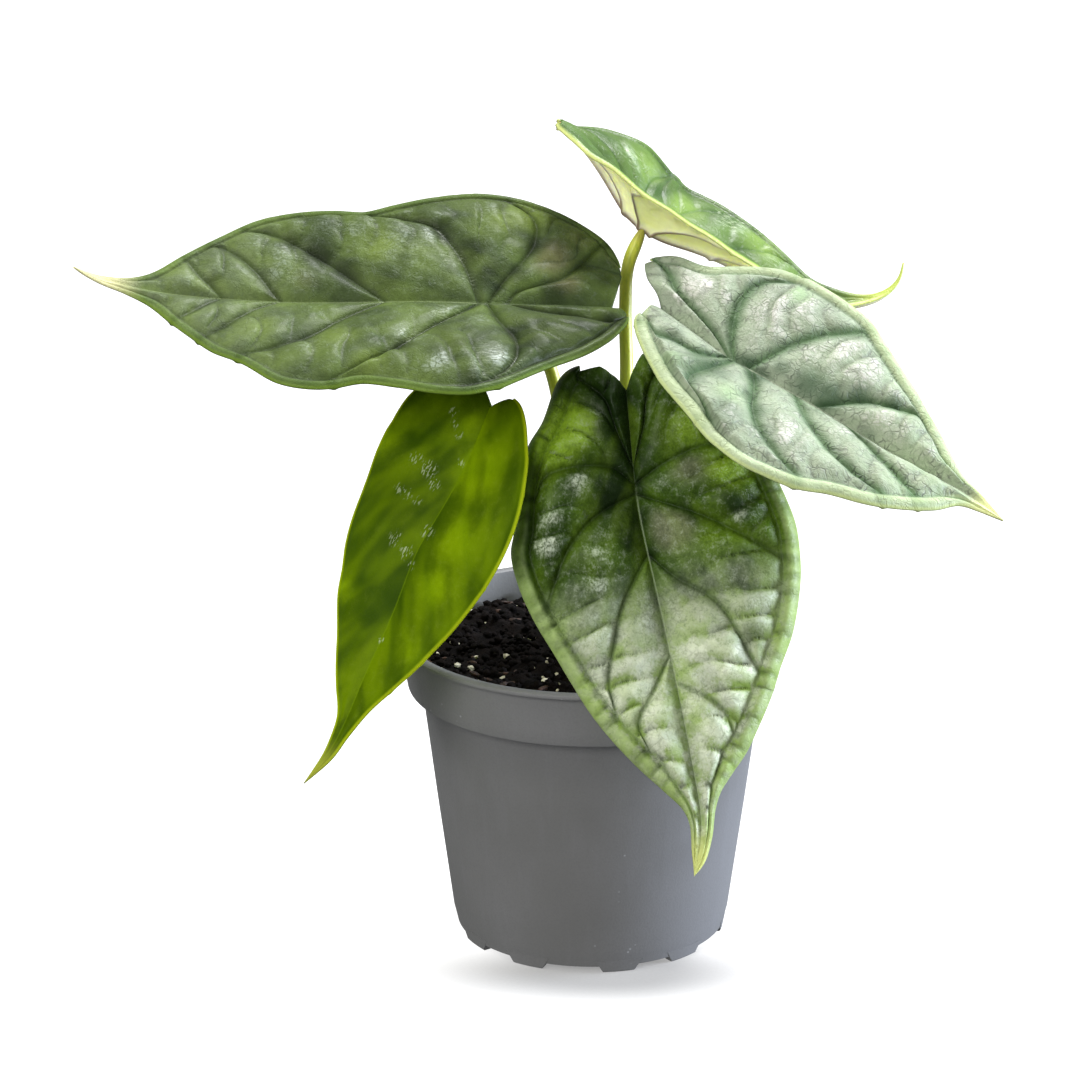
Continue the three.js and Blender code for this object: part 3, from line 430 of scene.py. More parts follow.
def halfBlade(leaf, side, s, shares, seed):  # places, heights and distances of one half, in millimetres
    form = bladeForm
    outline = threadPoints(leaf["right" if side > 0 else "left"], form["outlinePoints"])
    corner = np.argmin(outline[:, 0])
    notch, margin = outline[:corner + 1], outline[corner:]
    step = unit(np.gradient(margin, axis=0))
    inward = np.stack([step[:, 1], -step[:, 0]], -1)
    run = np.linspace(0, 1, len(margin))
    depth = np.minimum(leaf["band"], form["bandMost"] * margin[:, 1]) * np.clip(0.35 + run / 0.04, 0, 1)
    collector = margin + inward * depth[:, None]
    collector[:, 1] = np.clip(collector[:, 1], 0, None)
    count = form["ribPoints"]
    marks, ends, curves = [0.0], [0.0], [threadPoints([*notch[::30], margin[0]], count)]
    for share, points in leaf["ribsRight" if side > 0 else "ribsLeft"].items():
        end = np.argmin(np.linalg.norm(margin - points[-1], axis=1))
        start = (easeRows(leaf["spine"], share)[0], 0.0)
        curves.append(threadPoints([start, *points[:-1], collector[end]], count))
        marks.append(share)
        ends.append(run[end])
    curves = np.array([*curves, np.repeat(margin[-1:], count, 0)])
    marks, ends = np.array([*marks, 1.0]), np.array([*ends, 1.0])

    # Every row lies between two ribs and runs from the midrib to the margin's band
    cell = np.clip(np.searchsorted(marks, s, side="right") - 1, 0, len(marks) - 2)
    x = (s - marks[cell]) / (marks[cell + 1] - marks[cell])
    at = ends[cell] + (ends[cell + 1] - ends[cell]) * x
    marginAt, collectorAt = readTable(at, run, margin), readTable(at, run, collector)
    collectorAt[s <= 0] = marginAt[s <= 0]
    bandShare = form["bandShare"]
    inner = np.clip(shares / bandShare, 0, 1)
    outer = np.clip((shares - bandShare) / (1 - bandShare), 0, 1)
    low = np.stack([readTable(inner, np.linspace(0, 1, count), curve) for curve in curves])
    first, second = low[cell], low[cell + 1]
    points = first * (1 - x[:, None, None]) + second * x[:, None, None]
    spineAt = easeRows(leaf["spine"], s)[0]
    startMiss = np.stack([spineAt, np.zeros_like(spineAt)], -1) - points[:, 0]
    endMiss = collectorAt - points[:, np.argmax(inner >= 1)]
    points = points + startMiss[:, None] * (1 - inner[:, None]) ** 2 + endMiss[:, None] * inner[:, None] ** 2
    apart = (collector ** 2).sum(-1) - 2 * points.reshape(-1, 2) @ collector.T
    nearest = np.argmin(apart, 1).reshape(points.shape[:2])
    inside = ((points - collector[nearest]) * inward[nearest]).sum(-1)
    most, widthShare, ease = form["shelter"]
    wanted = (1 - inner) * np.minimum(most, widthShare * collector[nearest, 1])
    wanted = wanted * np.clip(s / ease, 0, 1)[:, None]
    points = points + inward[nearest] * np.clip(wanted - inside, 0, None)[..., None]
    points = points + (marginAt - collectorAt)[:, None] * outer[:, None]
    p, q = points[..., 0], points[..., 1] * side

    # Distances from the ribs, the midrib and the band, and the puff that rises between them
    width = np.linalg.norm(second - first, axis=-1) + 0.05
    fromFirst = x[:, None] * width + form["edgeReach"] * (cell == 0)[:, None]
    fromSecond = (1 - x[:, None]) * width + form["edgeReach"] * (cell == len(marks) - 2)[:, None]
    fromCollector = (1 - inner) * np.linalg.norm(collectorAt - points[:, 0], axis=-1)[:, None]
    walls = (fromFirst, fromSecond, 1.3 * np.abs(q), fromCollector)
    soft = sum((wall + 0.02) ** -4.0 for wall in walls) ** -0.25
    puffed = 1 - np.exp(-(soft / leaf["puffWidth"]) ** 0.95)
    tipFrom, tip = leaf["spine"][-2][1], leaf["spine"][-1][1]
    calm = (1 - 0.9 * np.clip((spineAt - tipFrom) / (tip - tipFrom), 0, 1))[:, None]

    # Cross folds ring the rib's end; each lifts sharply towards the base and falls off gently
    stray = ripples(p, q, form["strayWave"], seed)
    reach = np.linalg.norm(points - curves[cell + 1, -1][:, None], axis=-1)
    rise = 1 - (reach / leaf["crossLength"] + cell[:, None] * 0.37 + 0.2 * stray) % 1
    outward = np.clip((inner - 0.12) / 0.5, 0.12, 1)
    folds = (np.sin(math.pi * rise ** 0.6) ** 0.8 - 0.6) * np.clip(puffed * 1.8, 0, 1) * outward
    arch = 4 * shares * (1 - shares) * np.clip(fromCollector / form["archEase"], 0, 1)
    height = (leaf["puff"] * puffed + leaf["cross"] * folds + leaf["arch"] * arch) * calm * (outer <= 0)

    # The rolled margin and its beads, then small crinkles and a slow wave over everything
    band = np.sin(math.pi * outer) ** 0.8
    bandWidth = np.linalg.norm(marginAt - collectorAt, axis=-1)[:, None]
    full = np.clip(bandWidth / form["fullRim"], 0, 1)
    arc = at * np.linalg.norm(np.diff(margin, axis=0), axis=1).sum()
    beads = np.abs(np.sin(math.pi * (arc / leaf["beadLength"] + 0.4 * np.sin(arc * 0.21 + seed)))) ** 0.4 - 1
    beads = beads[:, None] * band ** 0.5 * leaf["beads"] * full
    height = height + leaf["roll"] * (band * 0.9 - outer ** 3) * full + beads
    height = height + leaf["crinkle"] * ripples(p, q, form["crinkleWave"], seed + 5, 20) * calm * puffed
    height = height + leaf["wave"] * ripples(p, q, form["slowWave"], seed + 9) * shares ** 2 * calm
    return {"p": p, "q": q, "height": height, "vein": np.minimum(fromFirst, fromSecond),
            "rim": (1 - outer) * bandWidth + fromCollector, "collector": outer * bandWidth + fromCollector,
            "puff": puffed * (outer <= 0), "folds": folds * (outer <= 0) + beads * 0.8}


def blotLayer(spots, p, q):  # soft patches
    total = np.zeros_like(p)
    for spotP, spotQ, radius, strength in spots:
        total = np.maximum(total, strength * np.exp(-((p - spotP) ** 2 + (q - spotQ) ** 2) / radius ** 2))
    return total


def makeBlade(name, leaf, materials, seed):
    form, sheet = bladeForm, LeafSheet(leaf)
    rows, half = leaf["rows"], leaf["columns"]
    bm = bmesh.new()
    bmesh.ops.create_grid(bm, x_segments=2 * half, y_segments=rows, size=0.5)
    doubled = bmesh.ops.extrude_face_region(bm, geom=bm.faces[:])["geom"]
    bmesh.ops.translate(bm, verts=[e for e in doubled if isinstance(e, bmesh.types.BMVert)], vec=(0, 0, 1))
    made = makeObject(bm, name, materials)
    share = np.linspace(0, 1, half + 1)
    share = share * 0.93 + 0.07 * share ** 2
    left, right = (halfBlade(leaf, sign, np.linspace(0, 1, rows + 1), share, seed + sign) for sign in (-1, 1))
    fields = {key: np.concatenate([left[key][:, :0:-1], right[key]], 1) for key in left}
    p, q, height = fields["p"], fields["q"], fields["height"]
    along = sheet.place(p + 0.4, q) - sheet.place(p - 0.4, q)
    across = sheet.place(p, q + 0.4) - sheet.place(p, q - 0.4)
    normal = unit(np.cross(across, along))
    thick = form["thick"] - form["edgeThinner"] * np.clip(1 - fields["rim"] / form["edgeWidth"], 0, 1) ** 2
    tipward = np.clip(1 - p / (leaf["spine"][-1][1] + 4), 0.1, 1)
    keel = form["keel"] * np.exp(-(q / form["keelWidth"]) ** 2) * tipward
    cords = form["cord"] * np.exp(-(fields["vein"] / form["cordWidth"]) ** 2)
    lower = height - thick / 2 - keel - cords * np.clip(fields["collector"] / 3, 0, 1)
    column, row, above = gridSpots(made, 2 * half, rows)
    lift = np.where(above, (height + thick / 2)[row, column], lower[row, column])
    for kind in blotKinds:
        fields[kind] = blotLayer(leaf[kind], p, q)
    for key in leafLayers:
        writeLayer(made, key, fields[key][row, column])
    writeLayer(made, "leafPlace", np.stack([p[row, column], q[row, column], np.zeros(len(row))], -1) / 10)
    corners = np.empty(len(made.data.loops), np.int32)
    made.data.loops.foreach_get("vertex_index", corners)
    under = above[corners].reshape(-1, 4).sum(1) < 2
    made.data.polygons.foreach_set("material_index", under.astype(np.int32))
    weld(made, sheet.place(p, q)[row, column] + normal[row, column] * lift[:, None])
    return made


def leafSkin(name, tone):  # the upper side of a blade
    paint = Paint(name)
    place = paint.attribute("leafPlace", "Vector")
    vein, rim, collector, puff, folds, shadeAndDark, sheen, fresh, warm = (paint.attribute(key) for key in leafLayers)
    along = paint.node("SeparateXYZ", None, {0: place})
    across = Wire(paint, along.socket.node.outputs[1])
    aside = across.math("ABSOLUTE")
    broad = paint.noise(place, 0.6, 2.0)
    patch = paint.noise(place, 1.7, 4.0, 0.6)
    mottle = paint.noise(place, 4.5, 3.0, 0.6)
    fine = paint.noise(place, 16.0, 4.0, 0.65)
    slant = paint.node("Mapping", None, {"Vector": place, "Rotation": (0, 0, 0.6), "Scale": (4.5, 17, 1)})
    glint = paint.noise(slant, 1.0, 3.0, 0.6)
    swept = paint.node("CombineXYZ", None, {0: along * 0.3 + aside * 0.15, 1: along * 0.4 - aside * 0.9,
                                            2: across.math("SIGN") * 3})
    streak = paint.noise(swept, 1.0, 2.0, 0.5)
    drift = paint.noise(place, 2.2, 2.0, output=1)
    swayed = paint.node("VectorMath", {"operation": "MULTIPLY_ADD"}, {0: drift, 1: (0.5, 0.5, 0), 2: place})
    net = paint.node("TexVoronoi", {"feature": "DISTANCE_TO_EDGE"},
                     {"Vector": swayed, "Scale": tone["netScale"], "Randomness": 1.0})
    lines = (1 - net.smooth(0.0, 0.14)) * (patch * 0.6 + mottle * 0.5).smooth(0.46, 0.68)
    crest = folds.smooth(-0.2, 0.3)
    toTip, rimPart, tipPart = (along.smooth(tone[part + "From"] / 10, tone[part + "To"] / 10)
                               for part in ("pale", "rim", "tip"))
    toTip = toTip * tone["paleShare"]
    scales = net.smooth(0.02, 0.3) * 0.5 + fine.smooth(0.35, 0.6) * 0.5
    # Painted highlight: the leaf's silver with the sheen blots, kept to pillow tops and fold crests where
    # light catches.
    silverAndHighlight = sheen * tone["sheenShare"] + patch.smooth(0.46, 0.72) * tone["silverShare"]
    silverAndHighlight = silverAndHighlight * puff.smooth(0.15, 0.6) * (0.3 + crest * 0.7) * (0.35 + scales * 0.9)
    # Darker along the veins: partly their own colour, partly painted shade in the sunken vein valleys.
    valley = (1 - vein.smooth(0.0, tone["veinWidth"])) * tone["veinShare"]
    leathery = mottle * 0.6 + fine * 0.4
    # Glints: bright strokes painted into the colour below as highlights, and a little real coat.
    glints = (sheen * glint.smooth(0.5, 0.6)).smooth(0.15, 0.55) * tone["sparkle"]
    band = (1 - rim.smooth(tone["rimWidth"] * 0.6, tone["rimWidth"])) * rimPart
    midrib = (1 - aside.smooth(0.008, 0.035)) * along.smooth(0.0, 0.6)
    color = paint.layers(tone["cell"], [
        (broad.smooth(0.35, 0.68), tone["cellLight"]),
        ((fresh * (0.7 + mottle * 0.5)).smooth(0.05, 0.75), tone["fresh"]),
        ((warm * (0.35 + puff * 0.9)).smooth(0.1, 0.9) * 0.65, tone["warm"]),
        # Paler towards the tip, most on pillow tops and fold crests: the leaf's paler tissue with painted
        # light on the tops.
        (toTip * (0.2 + patch * 0.55 + puff * 0.35 + crest * 0.35), tone["pale"]),
        (toTip * (1 - patch.smooth(0.42, 0.58)) * (0.75 - crest * 0.45), tone["fresh"]),
        (silverAndHighlight.smooth(0.05, 0.95), tone["silver"]),
        # The fine net is the leaf's own, drawn darker in the sunken parts as painted shade.
        (lines * (1.15 - puff * 0.75) * tone["netShare"], tone["net"]),
        # Painted shade in the fold creases.
        ((1 - folds.smooth(-0.55, -0.12)) * tone["creaseShadeShare"], tone["net"]),
        # Painted shade from the dark blots, partly the leaf's own dark tissue.
        ((shadeAndDark * (0.75 + mottle * 0.4)).smooth(0.08, 0.8) * tone["shadeAndDarkShare"], tone["shadeAndDark"]),
        (streak.smooth(0.42, 0.62) * tone["streakShare"], tone["fresh"]),
        ((1 - streak.smooth(0.36, 0.5)) * tone["streakShare"], tone["shadeAndDark"]),
        # Painted shade in the sunken vein valleys, over the veins' own darker green.
        (valley * (0.7 + mottle * 0.6), tone["valley"], "MULTIPLY"),
        ((1 - leathery.smooth(0.36, 0.52)) * tone["grainShare"], tone["valley"], "MULTIPLY"),
        (leathery.smooth(0.5, 0.64) * tone["grainShare"] * (1 - shadeAndDark) * puff * 0.5, tone["silver"]),
        # Painted glints.
        (glints * 0.6, "#c2d0a8"),
        # The band's own paler green, brighter on its bead crests as painted highlight.
        (band * tone["rimShare"] * (0.2 + mottle * 0.8 + crest * 1.1), tone["rim"]),
        ((1 - rim.smooth(0.1, 0.8)) * tone["edgeShare"], tone["edge"]),
        # Painted shade in the crease along the band's inner edge.
        ((1 - collector.smooth(0.0, 0.9)) * tone["veinShare"] * 0.6, tone["valley"], "MULTIPLY"),
        (midrib * tone["midribShare"], tone["midrib"]),
        (tipPart, tone["tip"]),
    ])
    relief = fine * 0.5 - lines * tone["netRelief"] + mottle * 1.1
    return paint.finish(color, tone["rough"] + fine * 0.12 - 0.06 - silverAndHighlight * tone["silverGloss"],
                        (relief, tone["bump"], 0.0007),
                        {"Specular IOR Level": tone["specular"], "Coat Roughness": 0.22,
                         "Coat Weight": tone["coat"] + glints * 0.4 + silverAndHighlight.smooth(0.2, 1.0) * 0.15})


def leafUnderside(name, tone):
    paint = Paint(name)
    place = paint.attribute("leafPlace", "Vector")
    vein, rim = paint.attribute("vein"), paint.attribute("rim")
    broad = paint.noise(place, 0.8, 3.0)
    fine = paint.noise(place, 12.0, 4.0, 0.6)
    midrib = paint.node("SeparateXYZ", None, {0: place}, 1).math("ABSOLUTE")
    line = (1 - vein.smooth(0.25, 0.8)).math("MAXIMUM", 1 - midrib.smooth(0.03, 0.12))
    reach = paint.node("VectorMath", {"operation": "LENGTH"}, {0: place}, 1)
    color = paint.layers(tone["under"], [
        (broad.smooth(0.3, 0.7), tone["underLight"]),
        (line * rim.smooth(2.0, 5.0) * (0.85 - reach.smooth(0.8, 3.6) * 0.65), tone["underVein"]),
        ((1 - rim.smooth(0.3, 1.6)) * 0.8, tone["underRim"]),
    ])
    return paint.finish(color, 0.5 + fine * 0.15, (fine, 0.25, 0.0005),
                        {"Subsurface Weight": 0.6, **lightThrough})


leafTones = {  # for the left, right, top, young and front leaf; places are along the midrib
    "cell": ("#3d4b2a", "#8a957f", "#3e5622", "#405800", "#2c4210"),
    "cellLight": ("#50612f", "#98a38c", "#526e32", "#4e6600", "#3a5410"),
    "fresh": ("#647636", "#8eac74", "#728c40", "#738f00", "#7e9e28"),
    "silver": ("#98a498", "#bdbcb3", "#a4b498", "#a8b850", "#c4cfba"),
    "silverShare": (0.2, 0.6, 0.2, 0.0, 0.25),
    "sheenShare": (0.7, 0.9, 1, 0.15, 1.0),
    "silverGloss": (0.06, 0.05, 0.1, 0.05, 0.1),
    "warm": ("#6a6646", "#b5b0a6", "#7a8a4c", "#8f9c10", "#75785c"),
    "valley": ("#a8b09c", "#93b08e", "#9cbc84", "#b4cc70", "#8c9c7c"),
    "veinWidth": (2.4, 4.2, 1.4, 4.0, 1.7),
    "veinShare": (0.85, 1.0, 0.6, 0.2, 0.7),
    "streakShare": (0.25, 0.1, 0.15, 0.4, 0.2),
    "grainShare": (0.3, 0.3, 0.15, 0.12, 0.5),
    "creaseShadeShare": (0.6, 0.4, 0.3, 0.0, 0.65),
    "shadeAndDark": ("#19240e", "#42593f", "#34501f", "#263f00", "#10200a"),
    "shadeAndDarkShare": (0.8, 0.85, 0.9, 0.8, 0.85),
    "net": ("#2c3822", "#4e5448", "#456a30", "#486a02", "#1c300f"),
    "netShare": (0.35, 0.9, 0.3, 0.12, 0.35),
    "netScale": (5.0, 4.5, 5.0, 7.0, 4.5),
    "rim": ("#56722a", "#b4c494", "#8aa648", "#788f00", "#9fb672"),
    "rimWidth": (2.6, 4.6, 1.2, 1.0, 4.4),
    "rimShare": (0.35, 0.6, 0.7, 0.7, 0.7),
    "rimFrom": (-40, -45, -45, -40, -12),
    "rimTo": (0, -20, -30, -20, 28),
    "edgeShare": (0.6, 0.8, 0.8, 0.8, 0.35),
    "edge": ("#6f8a2c", "#bccb86", "#c4cb7c", "#a4b418", "#87a050"),
    "midrib": ("#8b9a6e", "#b5bfa6", "#a9b870", "#6f8c08", "#8a9a78"),
    "midribShare": (0.42, 0.5, 0.5, 0.3, 0.5),
    "tip": ("#ccc998", "#d6dc98", "#b4c260", "#9aa238", "#c4cc78"),
    "tipFrom": (98, 76, 64, 84, 98),
    "tipTo": (112, 84, 78, 98, 111),
    "pale": ("#74825f", "#a6b290", "#8ea45e", "#6a8400", "#dde6cb"),
    "paleShare": (0.75, 0.4, 0.3, 0.3, 1.0),
    "paleFrom": (40, 20, 30, 40, 20),
    "paleTo": (100, 80, 70, 90, 60),
    "rough": (0.52, 0.5, 0.4, 0.48, 0.4),
    "specular": (0.08, 0.2, 0.25, 0.03, 0.12),
    "coat": (0.05, 0.0, 0.1, 0.0, 0.02),
    "sparkle": (0.15, 0.1, 0.7, 0.6, 0.1),
    "bump": (0.5, 0.6, 0.4, 0.25, 0.5),
    "netRelief": (0.35, 0.5, 0.5, 0.3, 0.35),
    "under": ("#93a06a", "#c3cda4", "#dadab8", "#a0b63a", "#a0ae70"),
    "underLight": ("#b0b883", "#d3d8b4", "#e8e8d2", "#b2c650", "#b6c088"),
    "underVein": ("#6a5138", "#7a5a44", "#6a4c3a", "#8a9a3a", "#6e5038"),
    "underRim": ("#a9b85c", "#c9d68a", "#d0d498", "#b4cc2a", "#a8bc5c"),
}

for number, (key, leaf) in enumerate(leafSettings.items()):
    tone = {part: values[number] for part, values in leafTones.items()}
    skins = [leafSkin("bladeSkin_" + key, tone), leafUnderside("bladeUnder_" + key, tone)]
    blade = makeBlade("blade_" + key, leaf, skins, 11 + 7 * number)
    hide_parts("leaf_" + key)
    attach(blade, "root")
    "blade_" + key
    print("blade", key, len(blade.data.polygons), "faces")

# Stalks: tapered and a little ridged, with brown flecks low down. Their feet stand in a circle on the stem;
# a path is the foot's angle, then the places that it passes. Bumps are (height, place, length) in shares.
stalkSettings = {
    "circle": 5.7, "base": 2.9, "top": 1.8, "foot": 90.8, "around": 28, "along": 120, "seat": 0.5,
    "sheath": (0.8, 0, 0.06), "collar": (0.12, 0.93, 0.03), "ridges": 7, "ridge": 0.05, "domeFrom": 0.94,
    "paths": {
        "left": [126, (-3.6, 2, 104), (-5.5, 0, 130), (-8.5, -3, 158), (-14, -5, 181), (-22, -8, 191)],
        "right": [-18, (7, -3, 104), (18, -4, 128), (33, -4, 148), (44, -8, 164), (45, -17, 177)],
        "top": [54, (5, 6, 106), (8, 12, 135), (10.2, 15, 168), (9.9, 22, 188), (10.8, 26.5, 200)],
        "young": [-162, (-5, -4, 103), (-12, -7, 122), (-21, -12, 138), (-29, -21, 148)],
        "front": [-90, (0.2, -7.4, 103), (3.6, -10, 122), (9, -17, 139), (11.5, -25, 147)],
    },
}


def stalkSkin():
    paint = Paint("stalkSkin")
    length = paint.attribute("stalkShare")
    streak = paint.noise(paint.place((900, 900, 120)), 1.0, 3.0, 0.6)
    fleck = paint.noise(paint.place(), 900.0, 2.0, 0.5)
    color = paint.layers("#95a544", [
        (length.smooth(0.0, 0.7), "#c6cc48"),
        (streak.smooth(0.45, 0.7) * 0.5, "#a2b43a"),
        (fleck.smooth(0.62, 0.7) * (1 - length.smooth(0.1, 0.6)) * 0.7, "#6e4a2c"),
        (length.smooth(0.94, 0.99) * 0.6, "#7c6a30"),
    ])
    coat = {"Coat Weight": 0.15, "Coat Roughness": 0.3, "Subsurface Weight": 0.5, **lightThrough}
    return paint.finish(color, 0.38 + streak * 0.12, (streak, 0.3, 0.0005), coat)


def makeStalk(key, path, material):
    settings, leaf = stalkSettings, leafSettings[key]
    normal = LeafSheet(leaf).directions(np.array([0.0]))[1][0]
    seat = leaf["junction"] - normal * settings["seat"]
    angle = math.radians(path[0])
    foot = (settings["circle"] * math.cos(angle), settings["circle"] * math.sin(angle), settings["foot"])
    around, rows = settings["around"], settings["along"]
    centre = threadPoints([foot, *path[1:], seat], rows + 1)
    tangent = unit(np.gradient(centre, axis=0))
    first = unit(np.cross(tangent, (0.3, 1.0, 0.1)))
    second = np.cross(tangent, first)
    bm = bmesh.new()
    bmesh.ops.create_grid(bm, x_segments=around, y_segments=rows, size=0.5)
    made = makeObject(bm, "stalk_" + key, [material])
    column, row, _ = gridSpots(made, around, rows)
    share, turn = row / rows, math.tau * column / around
    radius = settings["top"] + (settings["base"] - settings["top"]) * (1 - share) ** 1.6
    for height, place, length in (settings["sheath"], settings["collar"]):
        radius = radius + height * np.exp(-((share - place) / length) ** 2)
    radius = radius + settings["ridge"] * np.cos(settings["ridges"] * turn + 3 * share)
    dome = np.clip((share - settings["domeFrom"]) / (1 - settings["domeFrom"]), 0, 1)
    radius = radius * np.sqrt(np.clip(1 - dome ** 2, 0.03, 1))
    spots = (centre[row] + first[row] * (radius * np.cos(turn))[:, None]
             + second[row] * (radius * np.sin(turn))[:, None])
    spots[row == 0, 2] = foot[2]
    writeLayer(made, "stalkShare", share)
    weld(made, spots)
    return made


stalkMaterial = stalkSkin()
for key, path in stalkSettings["paths"].items():
    stalk = makeStalk(key, path, stalkMaterial)
    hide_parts("petiole_" + key)
    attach(stalk, "root")
print("stalks", len(stalkSettings["paths"]))

# Pot: spun from its profile (radius, height), drilled, with pairs of feet under the floor. Feet are
# (start, end) in degrees; their ends lean in towards the bottom.
potSettings = {
    "steps": 160, "footPairStart": -68, "footPairs": 5, "feet": [(11, 32), (51, 72)], "footLean": 0.36,
    "footLeanFrom": 4.6, "padRadius": (9, 9.4), "padHeight": 4.1, "sharpFrom": 38,
    "footSection": [(36.6, 4.2), (36.9, 0.3), (37.2, 0), (39.9, 0), (40.4, 0.4), (41.1, 4)],
    "drains": 6, "drainCircle": 27, "drainRadius": 3.2, "drainHeight": 5, "drainDepth": 8,
    "profile": [(0, 3.9), (9, 3.9), (36.3, 3.9), (36.9, 3.3), (37.2, 2), (40.1, 1.9), (40.6, 2.2),
        (41.3, 5.2), (41.8, 7.2), (44.2, 25), (46.5, 42), (48.8, 60), (51.1, 77.7), (51.5, 78.2),
        (54.7, 77.8), (55.1, 77.9), (55.3, 78.4), (55.9, 82), (57, 89), (57.75, 93.5), (58.1, 93.8),
        (59.4, 93.8), (59.85, 94), (60, 94.5), (59.9, 95), (59.5, 95.3), (57.2, 95.3), (56.7, 95.1),
        (56.5, 94.6), (55.2, 87), (54.1, 79.6), (53.6, 78.6), (50, 76.6), (49.8, 76), (47.6, 60),
        (45.3, 42), (43, 25), (40.7, 8), (40.1, 6.8), (39, 5.9), (9, 5.6), (0, 5.6)],
}


def potSkin():
    paint = Paint("potPlastic")
    place = paint.place()
    broad = paint.noise(place, 22.0, 3.0)
    grain = paint.noise(place, 1500.0, 3.0, 0.6)
    drawn = paint.noise(paint.place((260, 260, 30)), 1.0, 2.0, 0.5)
    speck = paint.node("TexVoronoi", {"feature": "F1"}, {"Vector": place, "Scale": 260.0})
    rare = paint.noise(place, 70.0, 2.0)
    color = paint.layers("#6b6c6c", [
        (broad.smooth(0.35, 0.65), "#727374"),
        (drawn.smooth(0.5, 0.75) * 0.1, "#808286"),
        (grain.smooth(0.4, 0.7) * 0.2, "#5e5f61"),
        ((1 - speck.smooth(0.05, 0.12)) * rare.smooth(0.55, 0.66) * 0.55, "#a9adb0"),
    ])
    return paint.finish(color, 0.5 + grain * 0.1, (grain + drawn * 0.2, 0.22, 0.0003),
                        {"Specular IOR Level": 0.4})


def makeDisc(bm, radii, height, middle, segments):  # an upright cylinder or cone
    made = bmesh.ops.create_cone(bm, cap_ends=True, segments=segments, radius1=radii[0] * mm,
                                 radius2=radii[1] * mm, depth=height * mm)
    bmesh.ops.translate(bm, verts=made["verts"], vec=Vector(middle) * mm)


def drillPot(settings):  # the spun body with its drain holes, as an unfinished mesh
    body = makeObject(spinProfile(settings), "potBody")
    bm = bmesh.new()
    for number in range(settings["drains"]):
        angle, circle = math.tau * number / settings["drains"], settings["drainCircle"]
        makeDisc(bm, [settings["drainRadius"]] * 2, settings["drainDepth"],
                 (circle * math.cos(angle), circle * math.sin(angle), settings["drainHeight"]), 32)
    drains = makeObject(bm, "potDrains")
    cut = body.modifiers.new("drains", "BOOLEAN")
    cut.operation, cut.solver, cut.object = "DIFFERENCE", "EXACT", drains
    drilled = bpy.data.meshes.new_from_object(body.evaluated_get(bpy.context.evaluated_depsgraph_get()))
    bm = bmesh.new()
    bm.from_mesh(drilled)
    bpy.data.objects.remove(body)
    bpy.data.objects.remove(drains)
    return bm


def addFoot(bm, settings, start, sweep):
    turned = [bm.verts.new((r * mm * math.cos(start), r * mm * math.sin(start), z * mm))
              for r, z in settings["footSection"]]
    face = bm.faces.new(turned)
    before = set(bm.verts) - set(turned)
    bmesh.ops.spin(bm, geom=[face, *face.edges, *face.verts], cent=(0, 0, 0), axis=(0, 0, 1), angle=sweep,
                   steps=8)
    for vert in (v for v in bm.verts if v not in before):
        lean = Matrix.Rotation(-start - sweep / 2, 3, "Z") @ vert.co
        share = settings["footLean"] * (1 - vert.co.z / (settings["footLeanFrom"] * mm))
        vert.co = Matrix.Rotation(-share * math.atan2(lean.y, lean.x), 3, "Z") @ vert.co


bm = drillPot(potSettings)
for pair in range(potSettings["footPairs"]):
    for low, high in potSettings["feet"]:
        start = potSettings["footPairStart"] + pair * 360 / potSettings["footPairs"] + low
        addFoot(bm, potSettings, math.radians(start), math.radians(high - low))
padHeight = potSettings["padHeight"]
makeDisc(bm, potSettings["padRadius"], padHeight, (0, 0, padHeight / 2), 48)
bmesh.ops.recalc_face_normals(bm, faces=bm.faces[:])
pot = makeObject(bm, "nurseryPot", [potSkin()])
pot.data.set_sharp_from_angle(angle=math.radians(potSettings["sharpFrom"]))
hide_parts("pot")
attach(pot, "root")
print("pot", len(pot.data.polygons), "faces")

# Peat: a lumpy surface. grains counts its peat crumbs, perlite and bark.
soilSettings = {
    "level": 87.6, "edge": 54.6, "bottom": 80, "wallTaper": 0.985, "grid": 150, "seed": 8, "batch": 60,
    "grains": [1500, 260, 60], "clearOfStem": 9.8, "lumps": [(1.1, 0.16, 3), (0.5, 0.5, 9)],
}


def peatSkin():
    paint = Paint("peat")
    place = paint.place()
    lump = paint.noise(place, 260.0, 5.0, 0.65)
    fine = paint.noise(place, 1400.0, 4.0, 0.7)
    color = paint.layers("#050303", [(lump.smooth(0.35, 0.7), "#120b08"),
                                     (fine.smooth(0.62, 0.8) * 0.5, "#301d15")])
    return paint.finish(color, 0.85 + fine * 0.1, (lump + fine * 0.6, 0.9, 0.0012),
                        {"Specular IOR Level": 0.1})


def grainSkin(name, low, high, rough):
    paint = Paint(name)
    spots = paint.noise(paint.place(), 700.0, 3.0, 0.6)
    color = paint.layers(low, [(spots.smooth(0.35, 0.65), high)])
    return paint.finish(color, rough + spots * 0.1, (spots, 0.5, 0.0004))


def soilSurface(x, y):
    r = math.hypot(x, y)
    waves = 0.9 * math.sin(0.21 * x + 1.3) * math.cos(0.19 * y) + 0.7 * math.sin(0.43 * y + 0.31 * x)
    lumps = sum(size * noise.noise(Vector((x * k, y * k, level))) for size, k, level in soilSettings["lumps"])
    rimDip, stemDip = 2.2 * max(0, (r - 49) / 6) ** 2, 1.2 * math.exp(-((r - 11) / 3) ** 2)
    return soilSettings["level"] + waves + lumps - rimDip - stemDip


